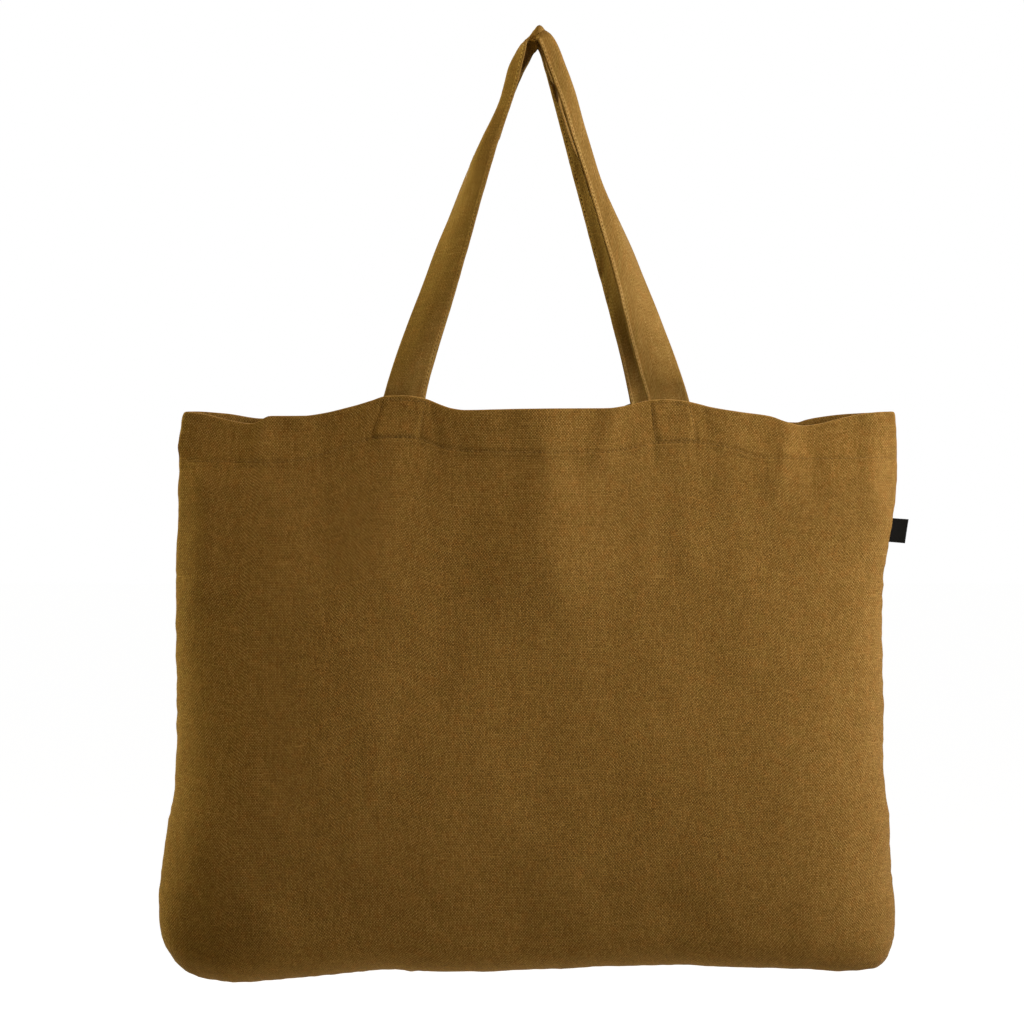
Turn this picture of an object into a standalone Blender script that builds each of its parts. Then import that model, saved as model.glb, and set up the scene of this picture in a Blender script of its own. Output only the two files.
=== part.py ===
"""A large linen tote bag: two sewn panels with a turned hem, a boxed bottom and two carrying straps.

Sizes are in metres. The origin is the point that the bag hangs from, under the folded straps.
The front faces -Y, +X is to the right and +Z is up.
"""

import math

import bmesh
import bpy
from mathutils import Matrix, Vector

# Bag body
STRAP_DROP = 0.339  # hang point down to the hem's crests, where the straps are sewn
BAG_HEIGHT = 0.521  # hem crest down to the base
HEM_WIDTH = 0.654
WAIST_WIDTH = 0.643
BASE_WIDTH = 0.671
WAIST_DROP = 0.250  # hem crest down to the narrowest place
MOUTH_DEPTH = 0.058
BASE_DEPTH = 0.140
BASE_ROUND = 0.042  # radius of the soft edge all round the base
HEM_SQUARENESS = 2.0  # 2 is an ellipse, more is a box with rounder ends
BASE_SQUARENESS = 5.0
BELLY_CURVE = 1.5  # the bag swells below its mouth, and more is later

# Cloth, hem and seams
CLOTH = 0.0008
HEM_DEPTH = 0.041
HEM_THICKNESS = 0.0020  # the turned hem, all its layers together
HEM_STEP = 0.0015
SEAM_LAP = 0.0025  # flat lip where the panels meet
SEAM_ALLOWANCE = 0.010  # sewn edge that stands up inside the bag
CLEARANCE = 0.0003  # between pieces that touch on the real bag

# The hem's top edge hangs in a wave between what lifts it
MIDDLE_SAG = 0.007
SIDE_SAG = 0.019
SEAM_SAG = 0.011
SIDE_SAG_PLACE = 0.66  # share of the way from a strap to the side seam
WAVE_REACH = 0.300  # below the hem, the wave has faded out

# Straps
STRAP_WIDTH = 0.037
STRAP_THICKNESS = 0.0024
STRAP_SPACING = 0.240  # between the middles of a strap's two ends, at the hem
BACK_RIGHT_INSET = 0.014  # the back strap's right end is sewn nearer the middle
STRAP_END_LENGTH = 0.037  # sewn to the inside of the hem
FOLD_INSET = 0.017  # stitched edge to the lengthwise fold
FOLD_ROUND = 0.006  # width of cloth that the fold bends
FOLD_TURN = math.radians(164.0)
FOLD_TILT = math.radians(8.0)
EDGE_ON_LENGTH = 0.205  # the strap is flat at the hem, and this far up its outer half points straight back
FOLD_LENGTH = 0.320  # and this far up it is folded shut
APEX_RADIUS = 0.004  # the stitched edge turns this tightly under the hang point
SQUARING_LENGTH = 0.080  # level cut at the hem turns square to the strap
HINGE_RISE = 0.002  # each strap turns about a line just above the hem's outer edge
LEAN_ROUNDS = 6  # a strap's foot and lean depend on each other, so they are found in rounds

# Stitching
THREAD_DIAMETER = 0.0006
HEM_STITCH_INSET = 0.0025  # up from the hem's lower edge
STRAP_STITCH_INSET = 0.0025
TACK_INSET = 0.0020

# Label in the right side seam
LABEL_LENGTH = 0.014
LABEL_HEIGHT = 0.023
LABEL_DROP = 0.108  # hem crest down to the label's top
RIBBON = 0.0004
LABEL_FOLD_RADIUS = 0.0003

# Facets
SIDE_COLUMNS = 26
HEM_ROWS = 2
BODY_ROWS = 9
ROUND_ROWS = 6
BASE_ROWS = 3
LEG_ROWS = 14
ARC_ROWS = 10
FOLD_COLUMNS = 4
LABEL_FOLD_COLUMNS = 6
TACK_POINTS = 3
CORNER_SEAM_COLUMNS = 3

# What follows from the sizes
FRONT = -1
BACK = 1
LEFT = -1
RIGHT = 1
HEM_Z = -STRAP_DROP
BASE_Z = HEM_Z - BAG_HEIGHT
ROUND_START = BAG_HEIGHT - BASE_ROUND
SEAM_GAP = CLEARANCE

LINEN_COLOUR = (0.19, 0.098, 0.026)
STRAP_COLOUR = (0.21, 0.112, 0.032)
THREAD_COLOUR = (0.27, 0.150, 0.050)
LABEL_COLOUR = (0.008, 0.007, 0.006)
LINEN_ROUGHNESS = 0.9
THREAD_ROUGHNESS = 0.7
LABEL_ROUGHNESS = 0.6


def ease(value):
    """Smooth step from 0 at 0 to 1 at 1."""
    value = min(max(value, 0.0), 1.0)
    return value * value * (3.0 - 2.0 * value)


def between(start, end, share):
    return start + (end - start) * share


# Shape of the bag's wall

def strap_middle(face, side):
    """Where the middle of a strap's end lies along the hem."""
    inset = BACK_RIGHT_INSET if (face, side) == (BACK, RIGHT) else 0.0
    return side * (STRAP_SPACING / 2 - inset)


def hem_wave(face, x):
    """Height of the hem's edge against its crests at the straps."""
    left = strap_middle(face, LEFT)
    right = strap_middle(face, RIGHT)
    if left < x < right:
        return -MIDDLE_SAG * math.sin(math.pi * (x - left) / (right - left)) ** 2
    crest = abs(right if x > 0 else left)
    share = min((abs(x) - crest) / (HEM_WIDTH / 2 - crest), 1.0)
    if share < SIDE_SAG_PLACE:
        return -SIDE_SAG * ease(share / SIDE_SAG_PLACE)
    rise = ease((share - SIDE_SAG_PLACE) / (1.0 - SIDE_SAG_PLACE))
    return -between(SIDE_SAG, SEAM_SAG, rise)


def wall_height(face, x, drop):
    """Height of the wall's point that is this far below the hem's edge."""
    fade = 1.0 - ease(drop / WAVE_REACH)
    return HEM_Z - drop + hem_wave(face, x) * fade


def wall_section(drop):
    """Half width, half depth and squareness of the bag, this far below the hem."""
    if drop < WAIST_DROP:
        width = between(HEM_WIDTH, WAIST_WIDTH, ease(drop / WAIST_DROP))
    else:
        width = between(WAIST_WIDTH, BASE_WIDTH, ease((drop - WAIST_DROP) / (ROUND_START - WAIST_DROP)))
    share = min(drop / ROUND_START, 1.0)
    depth = between(MOUTH_DEPTH, BASE_DEPTH, math.sin(share * math.pi / 2) ** BELLY_CURVE)
    return width / 2, depth / 2, between(HEM_SQUARENESS, BASE_SQUARENESS, share)


def wall_depth(x, half_width, half_depth, squareness, lip):
    """Distance of the wall's outer face from the bag's middle plane."""
    rest = half_depth - SEAM_GAP / 2 - lip
    bulge = math.sqrt(max(1.0 - abs(x / half_width) ** squareness, 0.0))
    return SEAM_GAP / 2 + lip + rest * bulge


def hem_face(face, x, drop, inward):
    """Point of the wall below the hem's edge, moved inward from the outer face."""
    depth = wall_depth(x, *wall_section(drop), SEAM_LAP)
    return Vector((x, face * (depth - inward), wall_height(face, x, drop)))


def body_drops():
    step = HEM_DEPTH + HEM_STEP
    return [between(step, ROUND_START, i / BODY_ROWS) for i in range(BODY_ROWS + 1)]


def round_section(angle):
    """The wall's row on the soft edge of the base: 0 is the wall, a quarter turn is the base."""
    half_width, half_depth, squareness = wall_section(ROUND_START)
    inset = BASE_ROUND * (1.0 - math.cos(angle))
    return ROUND_START + BASE_ROUND * math.sin(angle), half_width - inset, half_depth - inset, squareness


def panel_rows():
    """Rows of a panel from the hem's edge to the seam under the base, and how many are hem."""
    drops = [HEM_DEPTH * i / HEM_ROWS for i in range(HEM_ROWS + 1)] + body_drops()
    rows = [(drop, *wall_section(drop)) for drop in drops]
    for i in range(1, ROUND_ROWS + 1):
        rows.append(round_section(math.pi / 2 * i / ROUND_ROWS))
    drop, half_width, half_depth, squareness = rows[-1]
    for i in range(1, BASE_ROWS + 1):
        row_depth = between(half_depth, SEAM_GAP / 2, i / BASE_ROWS)
        rows.append((drop, half_width - half_depth + row_depth, row_depth, squareness))
    return rows, HEM_ROWS + 1


def column_share(column):
    """Place of a column across a panel, from -1 to 1, closer together towards the side seams."""
    share = (column - 1) / SIDE_COLUMNS
    return math.sin(math.pi * (min(max(share, 0.0), 1.0) - 0.5))


def panel_point(face, row, column):
    """Point on a panel's outer face. The first and last columns are the lips at the side seams."""
    drop, half_width, half_depth, squareness = row
    lip = min(SEAM_LAP, half_depth - SEAM_GAP / 2)
    share = column_share(column)
    if column in (0, SIDE_COLUMNS + 2):
        x = -face * half_width * share
        depth = SEAM_GAP / 2
    else:
        x = -face * (half_width - SEAM_LAP + lip) * share
        depth = wall_depth(x, half_width, half_depth, squareness, lip)
    return Vector((x, face * depth, wall_height(face, x, drop)))


# Shape of the straps

def fold_share(travel):
    """How far the fold has closed, this far up a strap, from 0 where it is flat to 1 where it is shut.

    Up to the place where the outer half is edge on, the strap looks evenly narrower from the front.
    """
    shut = FOLD_TURN + FOLD_TILT
    if travel < EDGE_ON_LENGTH:
        return math.acos(1.0 - travel / EDGE_ON_LENGTH) / shut
    share = ease((travel - EDGE_ON_LENGTH) / (FOLD_LENGTH - EDGE_ON_LENGTH))
    return between(math.pi / 2 / shut, 1.0, share)


def fold_section(fold):
    """Points across a strap from its stitched edge, as (outward, backward), for a fold from 0 to 1."""
    start = FOLD_INSET - FOLD_ROUND / 2
    places = [0.0] + [start + FOLD_ROUND * i / FOLD_COLUMNS for i in range(FOLD_COLUMNS + 1)] + [STRAP_WIDTH]
    points = [Vector((0.0, 0.0))]
    for near, far in zip(places, places[1:]):
        bend = min(max(((near + far) / 2 - start) / FOLD_ROUND, 0.0), 1.0)
        angle = fold * (FOLD_TILT + FOLD_TURN * bend)
        points.append(points[-1] + (far - near) * Vector((math.cos(angle), math.sin(angle))))
    return points


def apex_centre():
    """Height of the point that the stitched edge turns about, so that the fold hangs at the origin."""
    ridge = max(point.x for point in fold_section(1.0))
    return STRAP_THICKNESS / 2 - ridge - APEX_RADIUS


def leg_line(face, side):
    """Foot of a strap's stitched edge, its lean from upright and its length to the turn at the top."""
    foot_z = HEM_Z + CLEARANCE / 2
    rise = apex_centre() - foot_z
    lean = 0.0
    for _ in range(LEAN_ROUNDS):
        foot_x = abs(strap_middle(face, side)) - STRAP_WIDTH / 2 / math.cos(lean)
        reach = math.hypot(foot_x, rise)
        lean = math.atan2(foot_x, rise) - math.asin(APEX_RADIUS / reach)
    return Vector((side * foot_x, foot_z)), lean, math.sqrt(reach**2 - APEX_RADIUS**2)


def strap_stations(face):
    """Places along a strap's stitched edge: point, outward, upward, lean and distance from the hem."""
    stations = []
    foot, lean, length = leg_line(face, LEFT)
    right_foot, right_lean, right_length = leg_line(face, RIGHT)
    for i in range(LEG_ROWS):
        travel = length * i / LEG_ROWS
        up = Vector((math.sin(lean), math.cos(lean)))
        outward = Vector((-math.cos(lean), math.sin(lean)))
        stations.append((foot + up * travel, outward, up, lean, travel))
    for i in range(ARC_ROWS + 1):
        angle = between(math.pi - lean, right_lean, i / ARC_ROWS)
        outward = Vector((math.cos(angle), math.sin(angle)))
        centre = Vector((0.0, apex_centre()))
        travel = between(length, right_length, i / ARC_ROWS)
        stations.append((centre + outward * APEX_RADIUS, outward, Vector((0.0, 0.0)), 0.0, travel))
    for i in reversed(range(LEG_ROWS)):
        travel = right_length * i / LEG_ROWS
        up = Vector((-math.sin(right_lean), math.cos(right_lean)))
        outward = Vector((math.cos(right_lean), math.sin(right_lean)))
        stations.append((right_foot + up * travel, outward, up, right_lean, travel))
    return stations


def strap_foot_depth(face, side):
    """How far from the bag's middle plane the middle of a strap's thickness lies, at the hem."""
    inward = HEM_THICKNESS + CLEARANCE + STRAP_THICKNESS / 2
    return abs(hem_face(face, strap_middle(face, side), 0.0, inward).y)


def reach_back(section):
    """How far a section's points lie behind its stitched edge, on average over its width and at most."""
    area = sum((far - near).length * (far.y + near.y) / 2 for near, far in zip(section, section[1:]))
    return area / STRAP_WIDTH, max(point.y for point in section)


def strap_depth(face, side, share, section):
    """Distance of a strap's stitched edge from the bag's middle plane, a share of the way up its leg.

    The pulled strap's middle runs straight from the hem to the top, where the two folded straps
    lie back to back, and its turned half never passes the middle plane.
    """
    mean, most = reach_back(section)
    top_mean, top_most = reach_back(fold_section(1.0))
    clear = SEAM_GAP + STRAP_THICKNESS / 2
    straight = between(strap_foot_depth(face, side), clear + top_most - top_mean, share)
    return max(straight + mean, clear + most)


def strap_row(face, station):
    """Points across a strap at a station, on the middle of its thickness."""
    edge, outward, up, lean, travel = station
    side = LEFT if outward.x < 0 else RIGHT
    section = fold_section(fold_share(travel))
    depth = strap_depth(face, side, min(travel / leg_line(face, side)[2], 1.0), section)
    shear = math.tan(lean) * (1.0 - ease(travel / SQUARING_LENGTH))
    row = []
    for across in section:
        flat = edge + outward * across.x - up * (across.x * shear)
        row.append(Vector((flat.x, face * (depth - across.y), flat.y)))
    return row


def hinge_point(face):
    """Middle of the line that a strap turns about, above the hem's outer edge."""
    inner_edge = min(abs(leg_line(face, side)[0].x) for side in (LEFT, RIGHT))
    y = hem_face(face, inner_edge, 0.0, 0.0).y
    return Vector((0.0, y, HEM_Z + HINGE_RISE))


# Making objects

def clear_scene():
    for thing in list(bpy.data.objects):
        bpy.data.objects.remove(thing, do_unlink=True)


def make_material(name, colour, roughness):
    material = bpy.data.materials.new(name)
    material.use_nodes = True
    shader = material.node_tree.nodes["Principled BSDF"]
    shader.inputs["Base Color"].default_value = (*colour, 1.0)
    shader.inputs["Roughness"].default_value = roughness
    shader.inputs["Metallic"].default_value = 0.0
    return material


def add_holder(name, place, collection, parent=None):
    holder = bpy.data.objects.new(name, None)
    collection.objects.link(holder)
    holder.parent = parent
    holder.location = place
    return holder


def add_part(name, data, material, holder, collection):
    part = bpy.data.objects.new(name, data)
    data.materials.append(material)
    data.transform(Matrix.Translation(-holder.location))
    collection.objects.link(part)
    part.parent = holder
    return part


def bent_grid(name, columns, rows, place):
    """Mesh grid whose point in a column and row is moved to place(column, row)."""
    mesh = bpy.data.meshes.new(name)
    grid = bmesh.new()
    bmesh.ops.create_grid(grid, x_segments=columns, y_segments=rows, size=1.0)
    for point in grid.verts:
        column = round((point.co.x + 1.0) / 2 * columns)
        row = round((point.co.y + 1.0) / 2 * rows)
        point.co = place(column, row)
    grid.to_mesh(mesh)
    grid.free()
    mesh.shade_smooth()
    return mesh


def thicken(part, thickness, offset):
    shell = part.modifiers.new("Cloth thickness", "SOLIDIFY")
    shell.thickness = thickness
    shell.offset = offset
    shell.use_even_offset = True
    return shell


def thread_run(name, points, closed):
    curve = bpy.data.curves.new(name, "CURVE")
    curve.dimensions = "3D"
    curve.bevel_depth = THREAD_DIAMETER / 2
    curve.bevel_resolution = 0
    curve.use_fill_caps = True
    spline = curve.splines.new("POLY")
    spline.points.add(len(points) - 1)
    for knot, point in zip(spline.points, points):
        knot.co = (*point, 1.0)
    spline.use_cyclic_u = closed
    return curve


# Pieces

def make_panel(name, face, material, holder, collection):
    """Half of the bag from side seam to side seam, with its turned hem and its half of the base."""
    rows, hem_rows = panel_rows()
    columns = SIDE_COLUMNS + 2
    last = len(rows) - 1
    mesh = bent_grid(name, columns, last, lambda column, row: panel_point(face, rows[last - row], column))
    panel = add_part(name, mesh, material, holder, collection)
    hem = panel.vertex_groups.new(name="turned_hem")
    first_hem_point = (len(rows) - hem_rows) * (columns + 1)
    hem.add(list(range(first_hem_point, len(mesh.vertices))), 1.0, "REPLACE")
    shell = thicken(panel, HEM_THICKNESS, -1.0)
    shell.vertex_group = hem.name
    shell.thickness_vertex_group = CLOTH / HEM_THICKNESS


def make_strap(name, face, material, holder, collection):
    """Free loop of a strap: flat where it leaves the hem, folded lengthwise at the hang point."""
    rows = [strap_row(face, station) for station in strap_stations(face)]
    mesh = bent_grid(name, len(rows[0]) - 1, len(rows) - 1, lambda column, row: rows[row][column])
    strap = add_part(name, mesh, material, holder, collection)
    thicken(strap, STRAP_THICKNESS, 0.0)


def strap_end_point(face, side, across, down, inward):
    """Point on a strap's sewn end: across from -1 to 1 and down from the hem in metres."""
    lean = leg_line(face, side)[1]
    middle = strap_middle(face, side) + side * down * math.tan(lean)
    x = middle + across * STRAP_WIDTH / 2 / math.cos(lean)
    point = hem_face(face, x, down, inward)
    point.z = HEM_Z - down
    return point


def make_strap_end(name, face, side, material, holder, collection):
    """End of a strap, sewn flat to the inside of the hem."""
    inward = HEM_THICKNESS + CLEARANCE + STRAP_THICKNESS / 2
    top = CLEARANCE / 2

    def place(column, row):
        down = between(STRAP_END_LENGTH, top, row / 2)
        return strap_end_point(face, side, column - 1.0, down, inward)

    end = add_part(name, bent_grid(name, 2, 2, place), material, holder, collection)
    thicken(end, STRAP_THICKNESS, 0.0)


def make_tack_stitching(name, face, side, material, holder, collection):
    """Rectangle of stitching on the hem's outer face that holds a strap's end."""
    lean = leg_line(face, side)[1]
    reach = 1.0 - TACK_INSET * 2 * math.cos(lean) / STRAP_WIDTH
    top = TACK_INSET
    bottom = STRAP_END_LENGTH - TACK_INSET
    corners = [(-reach, top), (reach, top), (reach, bottom), (-reach, bottom)]
    outward = CLEARANCE + THREAD_DIAMETER / 2
    points = []
    for start, end in zip(corners, corners[1:] + corners[:1]):
        for i in range(TACK_POINTS):
            across = between(start[0], end[0], i / TACK_POINTS)
            down = between(start[1], end[1], i / TACK_POINTS)
            points.append(strap_end_point(face, side, across, down, -outward))
    add_part(name, thread_run(name, points, True), material, holder, collection)


def make_hem_stitching(name, face, material, holder, collection):
    """Row of stitching along the lower edge of the turned hem."""
    drop = HEM_DEPTH - HEM_STITCH_INSET
    half_width = wall_section(drop)[0]
    outward = CLEARANCE + THREAD_DIAMETER / 2
    columns = range(2, SIDE_COLUMNS + 1)
    points = [hem_face(face, half_width * column_share(column), drop, -outward) for column in columns]
    add_part(name, thread_run(name, points, False), material, holder, collection)


def make_strap_stitching(name, face, material, holder, collection):
    """Row of stitching along the inner edge of a strap, on its outer face."""
    outward = STRAP_THICKNESS / 2 + CLEARANCE + THREAD_DIAMETER / 2
    share = STRAP_STITCH_INSET / (FOLD_INSET - FOLD_ROUND / 2)
    rows = [strap_row(face, station) for station in strap_stations(face)]
    points = []
    for i, row in enumerate(rows):
        along = rows[min(i + 1, len(rows) - 1)][0] - rows[max(i - 1, 0)][0]
        normal = (row[1] - row[0]).cross(along).normalized()
        if normal.y * face < 0:
            normal.negate()
        points.append(row[0].lerp(row[1], share) + normal * outward)
    add_part(name, thread_run(name, points, False), material, holder, collection)


def make_side_seam(name, side, material, holder, collection):
    """Sewn edges of both panels, standing inward from a side seam below the hem."""
    drops = body_drops()
    drops[0] += HEM_STEP
    last = len(drops) - 1

    def place(column, row):
        drop = drops[last - row]
        half_width = wall_section(drop)[0]
        inset = CLOTH + CLEARANCE + SEAM_ALLOWANCE * column
        return Vector((side * (half_width - inset), 0.0, wall_height(FRONT, side * half_width, drop)))

    seam = add_part(name, bent_grid(name, 1, last, place), material, holder, collection)
    thicken(seam, CLOTH * 2, 0.0)


def make_bottom_seam(name, material, holder, collection):
    """Sewn edges of both panels, standing up along the middle of the base."""
    rows = panel_rows()[0]
    half_length = rows[-1][1]
    foot = BASE_Z + CLOTH + CLEARANCE

    def place(column, row):
        return Vector((half_length * (2 * column - 1), 0.0, foot + SEAM_ALLOWANCE * row))

    seam = add_part(name, bent_grid(name, 1, 1, place), material, holder, collection)
    thicken(seam, CLOTH * 2, 0.0)


def make_corner_seam(name, side, material, holder, collection):
    """Sewn edges that box a bottom corner, standing inward across the soft edge of the base."""
    row = round_section(math.pi / 4)
    edge = []
    for face in (FRONT, BACK):
        outer = 0 if side == -face * LEFT else SIDE_COLUMNS + 2
        step = 1 if outer == 0 else -1
        points = [panel_point(face, row, outer + step * i) for i in range(CORNER_SEAM_COLUMNS + 1)]
        edge = points[::-1] if face == FRONT else edge + points
    inward = Vector((-side, 0.0, 1.0)).normalized()
    root = (CLOTH + CLEARANCE) * math.sqrt(2.0)

    def place(column, row_number):
        return edge[row_number] + inward * (root + SEAM_ALLOWANCE * column)

    seam = add_part(name, bent_grid(name, 1, len(edge) - 1, place), material, holder, collection)
    thicken(seam, CLOTH * 2, 0.0)


def label_hinge_point():
    """Point on the line that the label turns about, just outside the right side seam."""
    half_width = wall_section(LABEL_DROP)[0]
    root = LABEL_FOLD_RADIUS + RIBBON
    return Vector((half_width + CLEARANCE + root, 0.0, HEM_Z - LABEL_DROP))


def make_label(name, material, holder, collection):
    """Ribbon folded in half, with its two ends at the side seam."""
    root = label_hinge_point()
    straight = LABEL_LENGTH - LABEL_FOLD_RADIUS - RIBBON / 2
    last = LABEL_FOLD_COLUMNS + 2

    def place(column, row):
        turn = math.pi * ((column - 1) / LABEL_FOLD_COLUMNS - 0.5)
        reach = straight + LABEL_FOLD_RADIUS * math.cos(turn)
        y = LABEL_FOLD_RADIUS * math.sin(turn)
        if column in (0, last):
            reach = 0.0
            y = math.copysign(LABEL_FOLD_RADIUS, column - 1)
        return root + Vector((reach, y, LABEL_HEIGHT * (row - 1)))

    label = add_part(name, bent_grid(name, last, 1, place), material, holder, collection)
    thicken(label, RIBBON, 0.0)


def main():
    clear_scene()
    collection = bpy.data.collections.new("linen_tote_bag")
    bpy.context.scene.collection.children.link(collection)
    linen = make_material("linen", LINEN_COLOUR, LINEN_ROUGHNESS)
    strap_linen = make_material("strap_linen", STRAP_COLOUR, LINEN_ROUGHNESS)
    thread = make_material("thread", THREAD_COLOUR, THREAD_ROUGHNESS)
    ribbon = make_material("label_ribbon", LABEL_COLOUR, LABEL_ROUGHNESS)

    bag = add_holder("bag", (0.0, 0.0, 0.0), collection)
    label_hinge = add_holder("label_hinge", label_hinge_point(), collection, bag)
    make_label("label_tab", ribbon, label_hinge, collection)
    for face, face_name in ((FRONT, "front"), (BACK, "back")):
        hinge = add_holder(f"{face_name}_strap_hinge", hinge_point(face), collection, bag)
        make_panel(f"{face_name}_panel", face, linen, bag, collection)
        make_hem_stitching(f"{face_name}_hem_stitching", face, thread, bag, collection)
        make_strap(f"{face_name}_strap", face, strap_linen, hinge, collection)
        make_strap_stitching(f"{face_name}_strap_stitching", face, thread, hinge, collection)
        for side, side_name in ((LEFT, "left"), (RIGHT, "right")):
            end_name = f"{face_name}_{side_name}"
            make_strap_end(f"{end_name}_strap_end", face, side, strap_linen, bag, collection)
            make_tack_stitching(f"{end_name}_tack_stitching", face, side, thread, bag, collection)
    for side, side_name in ((LEFT, "left"), (RIGHT, "right")):
        make_side_seam(f"{side_name}_side_seam", side, linen, bag, collection)
        make_corner_seam(f"{side_name}_corner_seam", side, linen, bag, collection)
    make_bottom_seam("bottom_seam", linen, bag, collection)


main()
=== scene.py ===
"""Looks of a large linen tote bag that hangs from its two straps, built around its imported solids.

Metres, with +Z up and the front towards -Y. The origin is the point that the bag hangs from.
Places given in pixels are those of the photograph's 1024 by 1024 frame.
"""

import collections
import math

import bpy
import numpy as np
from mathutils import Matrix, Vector, noise


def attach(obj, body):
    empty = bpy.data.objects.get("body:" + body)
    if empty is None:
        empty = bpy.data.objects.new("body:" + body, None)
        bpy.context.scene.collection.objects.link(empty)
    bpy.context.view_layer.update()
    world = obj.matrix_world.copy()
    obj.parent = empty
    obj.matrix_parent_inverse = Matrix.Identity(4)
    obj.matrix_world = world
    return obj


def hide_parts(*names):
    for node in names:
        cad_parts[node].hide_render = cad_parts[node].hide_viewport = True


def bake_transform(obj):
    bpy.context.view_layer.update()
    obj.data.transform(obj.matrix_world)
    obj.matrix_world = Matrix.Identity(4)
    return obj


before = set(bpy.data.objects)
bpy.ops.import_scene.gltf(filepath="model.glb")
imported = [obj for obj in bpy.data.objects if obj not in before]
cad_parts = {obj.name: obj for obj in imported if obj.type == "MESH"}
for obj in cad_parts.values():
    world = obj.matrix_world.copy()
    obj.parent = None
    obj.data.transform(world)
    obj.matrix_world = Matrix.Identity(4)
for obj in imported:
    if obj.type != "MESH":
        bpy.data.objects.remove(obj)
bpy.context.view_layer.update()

FRONT = -1
BACK = 1
SIDE_NAMES = {FRONT: "front", BACK: "back"}
TINY = 1e-12
NOISE_SHIFT = 17.31

# The camera and the photograph's frame
PHOTO_SIDE = 1024
PIXEL = 0.0009116
HANG_PIXEL = (540.0, 28.0)
CAMERA_DISTANCE = 3.5
CAMERA_X = (PHOTO_SIDE / 2 - HANG_PIXEL[0]) * PIXEL
CAMERA_Z = (HANG_PIXEL[1] - PHOTO_SIDE / 2) * PIXEL
SENSOR_WIDTH = 36.0

# The hung bag: its level sections, and where its waves, sag and rounded corners begin
HEM_Z = -0.339
ROUND_DROP = 0.491
MOUTH_DEPTH = 0.058
BASE_DEPTH = 0.140
BELLY_CURVE = 1.5
MOUTH_SQUARENESS = 3.0
HEM_SQUARENESS = 3.4
BASE_SQUARENESS = 5.0
BASE_ROUND = 0.030
LEFT_CORNER_DROP = 0.471
LEFT_CORNER_ROUND = 0.046
RIGHT_CORNER_DROP = 0.479
RIGHT_CORNER_ROUND = 0.021
BASE_DEPTH_IN_VIEW = -0.028
WAVE_REACH = 0.300
DIP_START = 0.200
MOUTH_POINT = 1.4
POINT_REACH = 0.065
HEM_ROOM = 0.0030
ROOM_SQUARENESS = 80
BOTTOM_TUCK = 0.0170
TUCK_START = 0.300
TUCK_CURVE = 3
SEAM_LIP = 0.0001
SECTION_POINTS = 1601
BASE_Z = HEM_Z - ROUND_DROP - BASE_ROUND

# The cloth and its hem
CLOTH = 0.0008
PANEL_SHELL = 0.9 * CLOTH
HEM_LAYERS = 0.0024
HEM_PROUD = 0.0011
HEM_STEP_START = 0.001
HEM_STEP_REACH = 0.004
HEM_GROOVE = 0.0010
HEM_GROOVE_REACH = 0.0018
HEM_FOLD_POINTS = 7
STITCH_DROP = 0.0398
TUCK_RADIUS = 0.0007
TUCK_LENGTH = 0.006
TUCK_POINTS = 6

# The seams between the panels, and the sewn edges inside
SEAM_REACH = 0.016
SEAM_GROOVE = 0.0011
SEAM_GROOVE_REACH = 0.0022
PUCKER = 0.0005
PUCKER_LENGTH = 0.009
PUCKER_SEED = 3
SEAM_ALLOWANCE = 0.010
SEAM_SHELL = 1.8 * CLOTH
SEAM_ROWS = 7
SEAM_WAVES = ((0.0022, 0.045), (0.0008, 0.012))
SIDE_SEAM_ROOT = 0.0012
CORNER_SEAM_ROOT = 0.0014
BOTTOM_SEAM_ROOT = 0.0008
CORNER_RISE = 0.9
CORNER_COLUMNS = 22
LEFT_SEAM_SEED = 31
RIGHT_SEAM_SEED = 35
CORNER_SEAM_SEED = 41
BOTTOM_SEAM_SEED = 45
CLEAR_OF_SEAMS = slice(2, -2)

# A panel's rows and columns, closer together at the hem, the stitched boxes and the side seams
BOX_STEP = 0.0013
SIDE_STEP = 0.0010
COARSE_STEP = 0.0028
BOX_REACH = 0.010
HEM_ROW_STEP = 0.0016
HEM_ROWS_END = 0.0465
WALL_START = 0.003
WALL_ROWS = 84
ROUND_ROWS = 14
BASE_ROWS = 7
INNER_HEM_ROWS = 26

# The cloth's lumps: how high they stand, their size across and down the cloth, and the seed of their noise.
# Each reach is measured from the hem, a seam or a stitched line. The NOISE values part front from back.
Lumps = collections.namedtuple("Lumps", "height size seed")
PANEL_NOISE = 0.4
BROAD_SWELL = Lumps(0.0042, (0.19, 0.26), 1)
SWELL_AT_HEM = 0.25
SWELL_REACH = 0.10
SMALL_SWELLS = (Lumps(0.0021, (0.070, 0.110), 2), Lumps(0.0007, (0.026, 0.034), 3))
HEM_GATHERS = (Lumps(0.0007, (0.0075, 0.050), 5), Lumps(0.00042, (0.016, 0.070), 6))
HEM_GATHER_REACH = 0.011
EDGE_WAVES = Lumps(0.0007, (0.020, 0.030), 7)
EDGE_WAVE_REACH = 0.020
SIDE_GATHERS = (Lumps(0.0010, (0.040, 0.0085), 9), Lumps(0.0007, (0.050, 0.019), 10))
SIDE_GATHER_REACH = 0.018
BOTTOM_GATHERS = Lumps(0.0012, (0.0085, 0.040), 11)
BOTTOM_GATHER_REACH = 0.016
GATHER_START = 0.004
STRAP_NOISE = 0.7
STRAP_GATHERS = Lumps(0.0006, (0.012, 0.0075), 21)
STRAP_GATHER_REACH = 0.005
STRAP_SWELL = Lumps(0.0013, (0.030, 0.050), 22)

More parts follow.
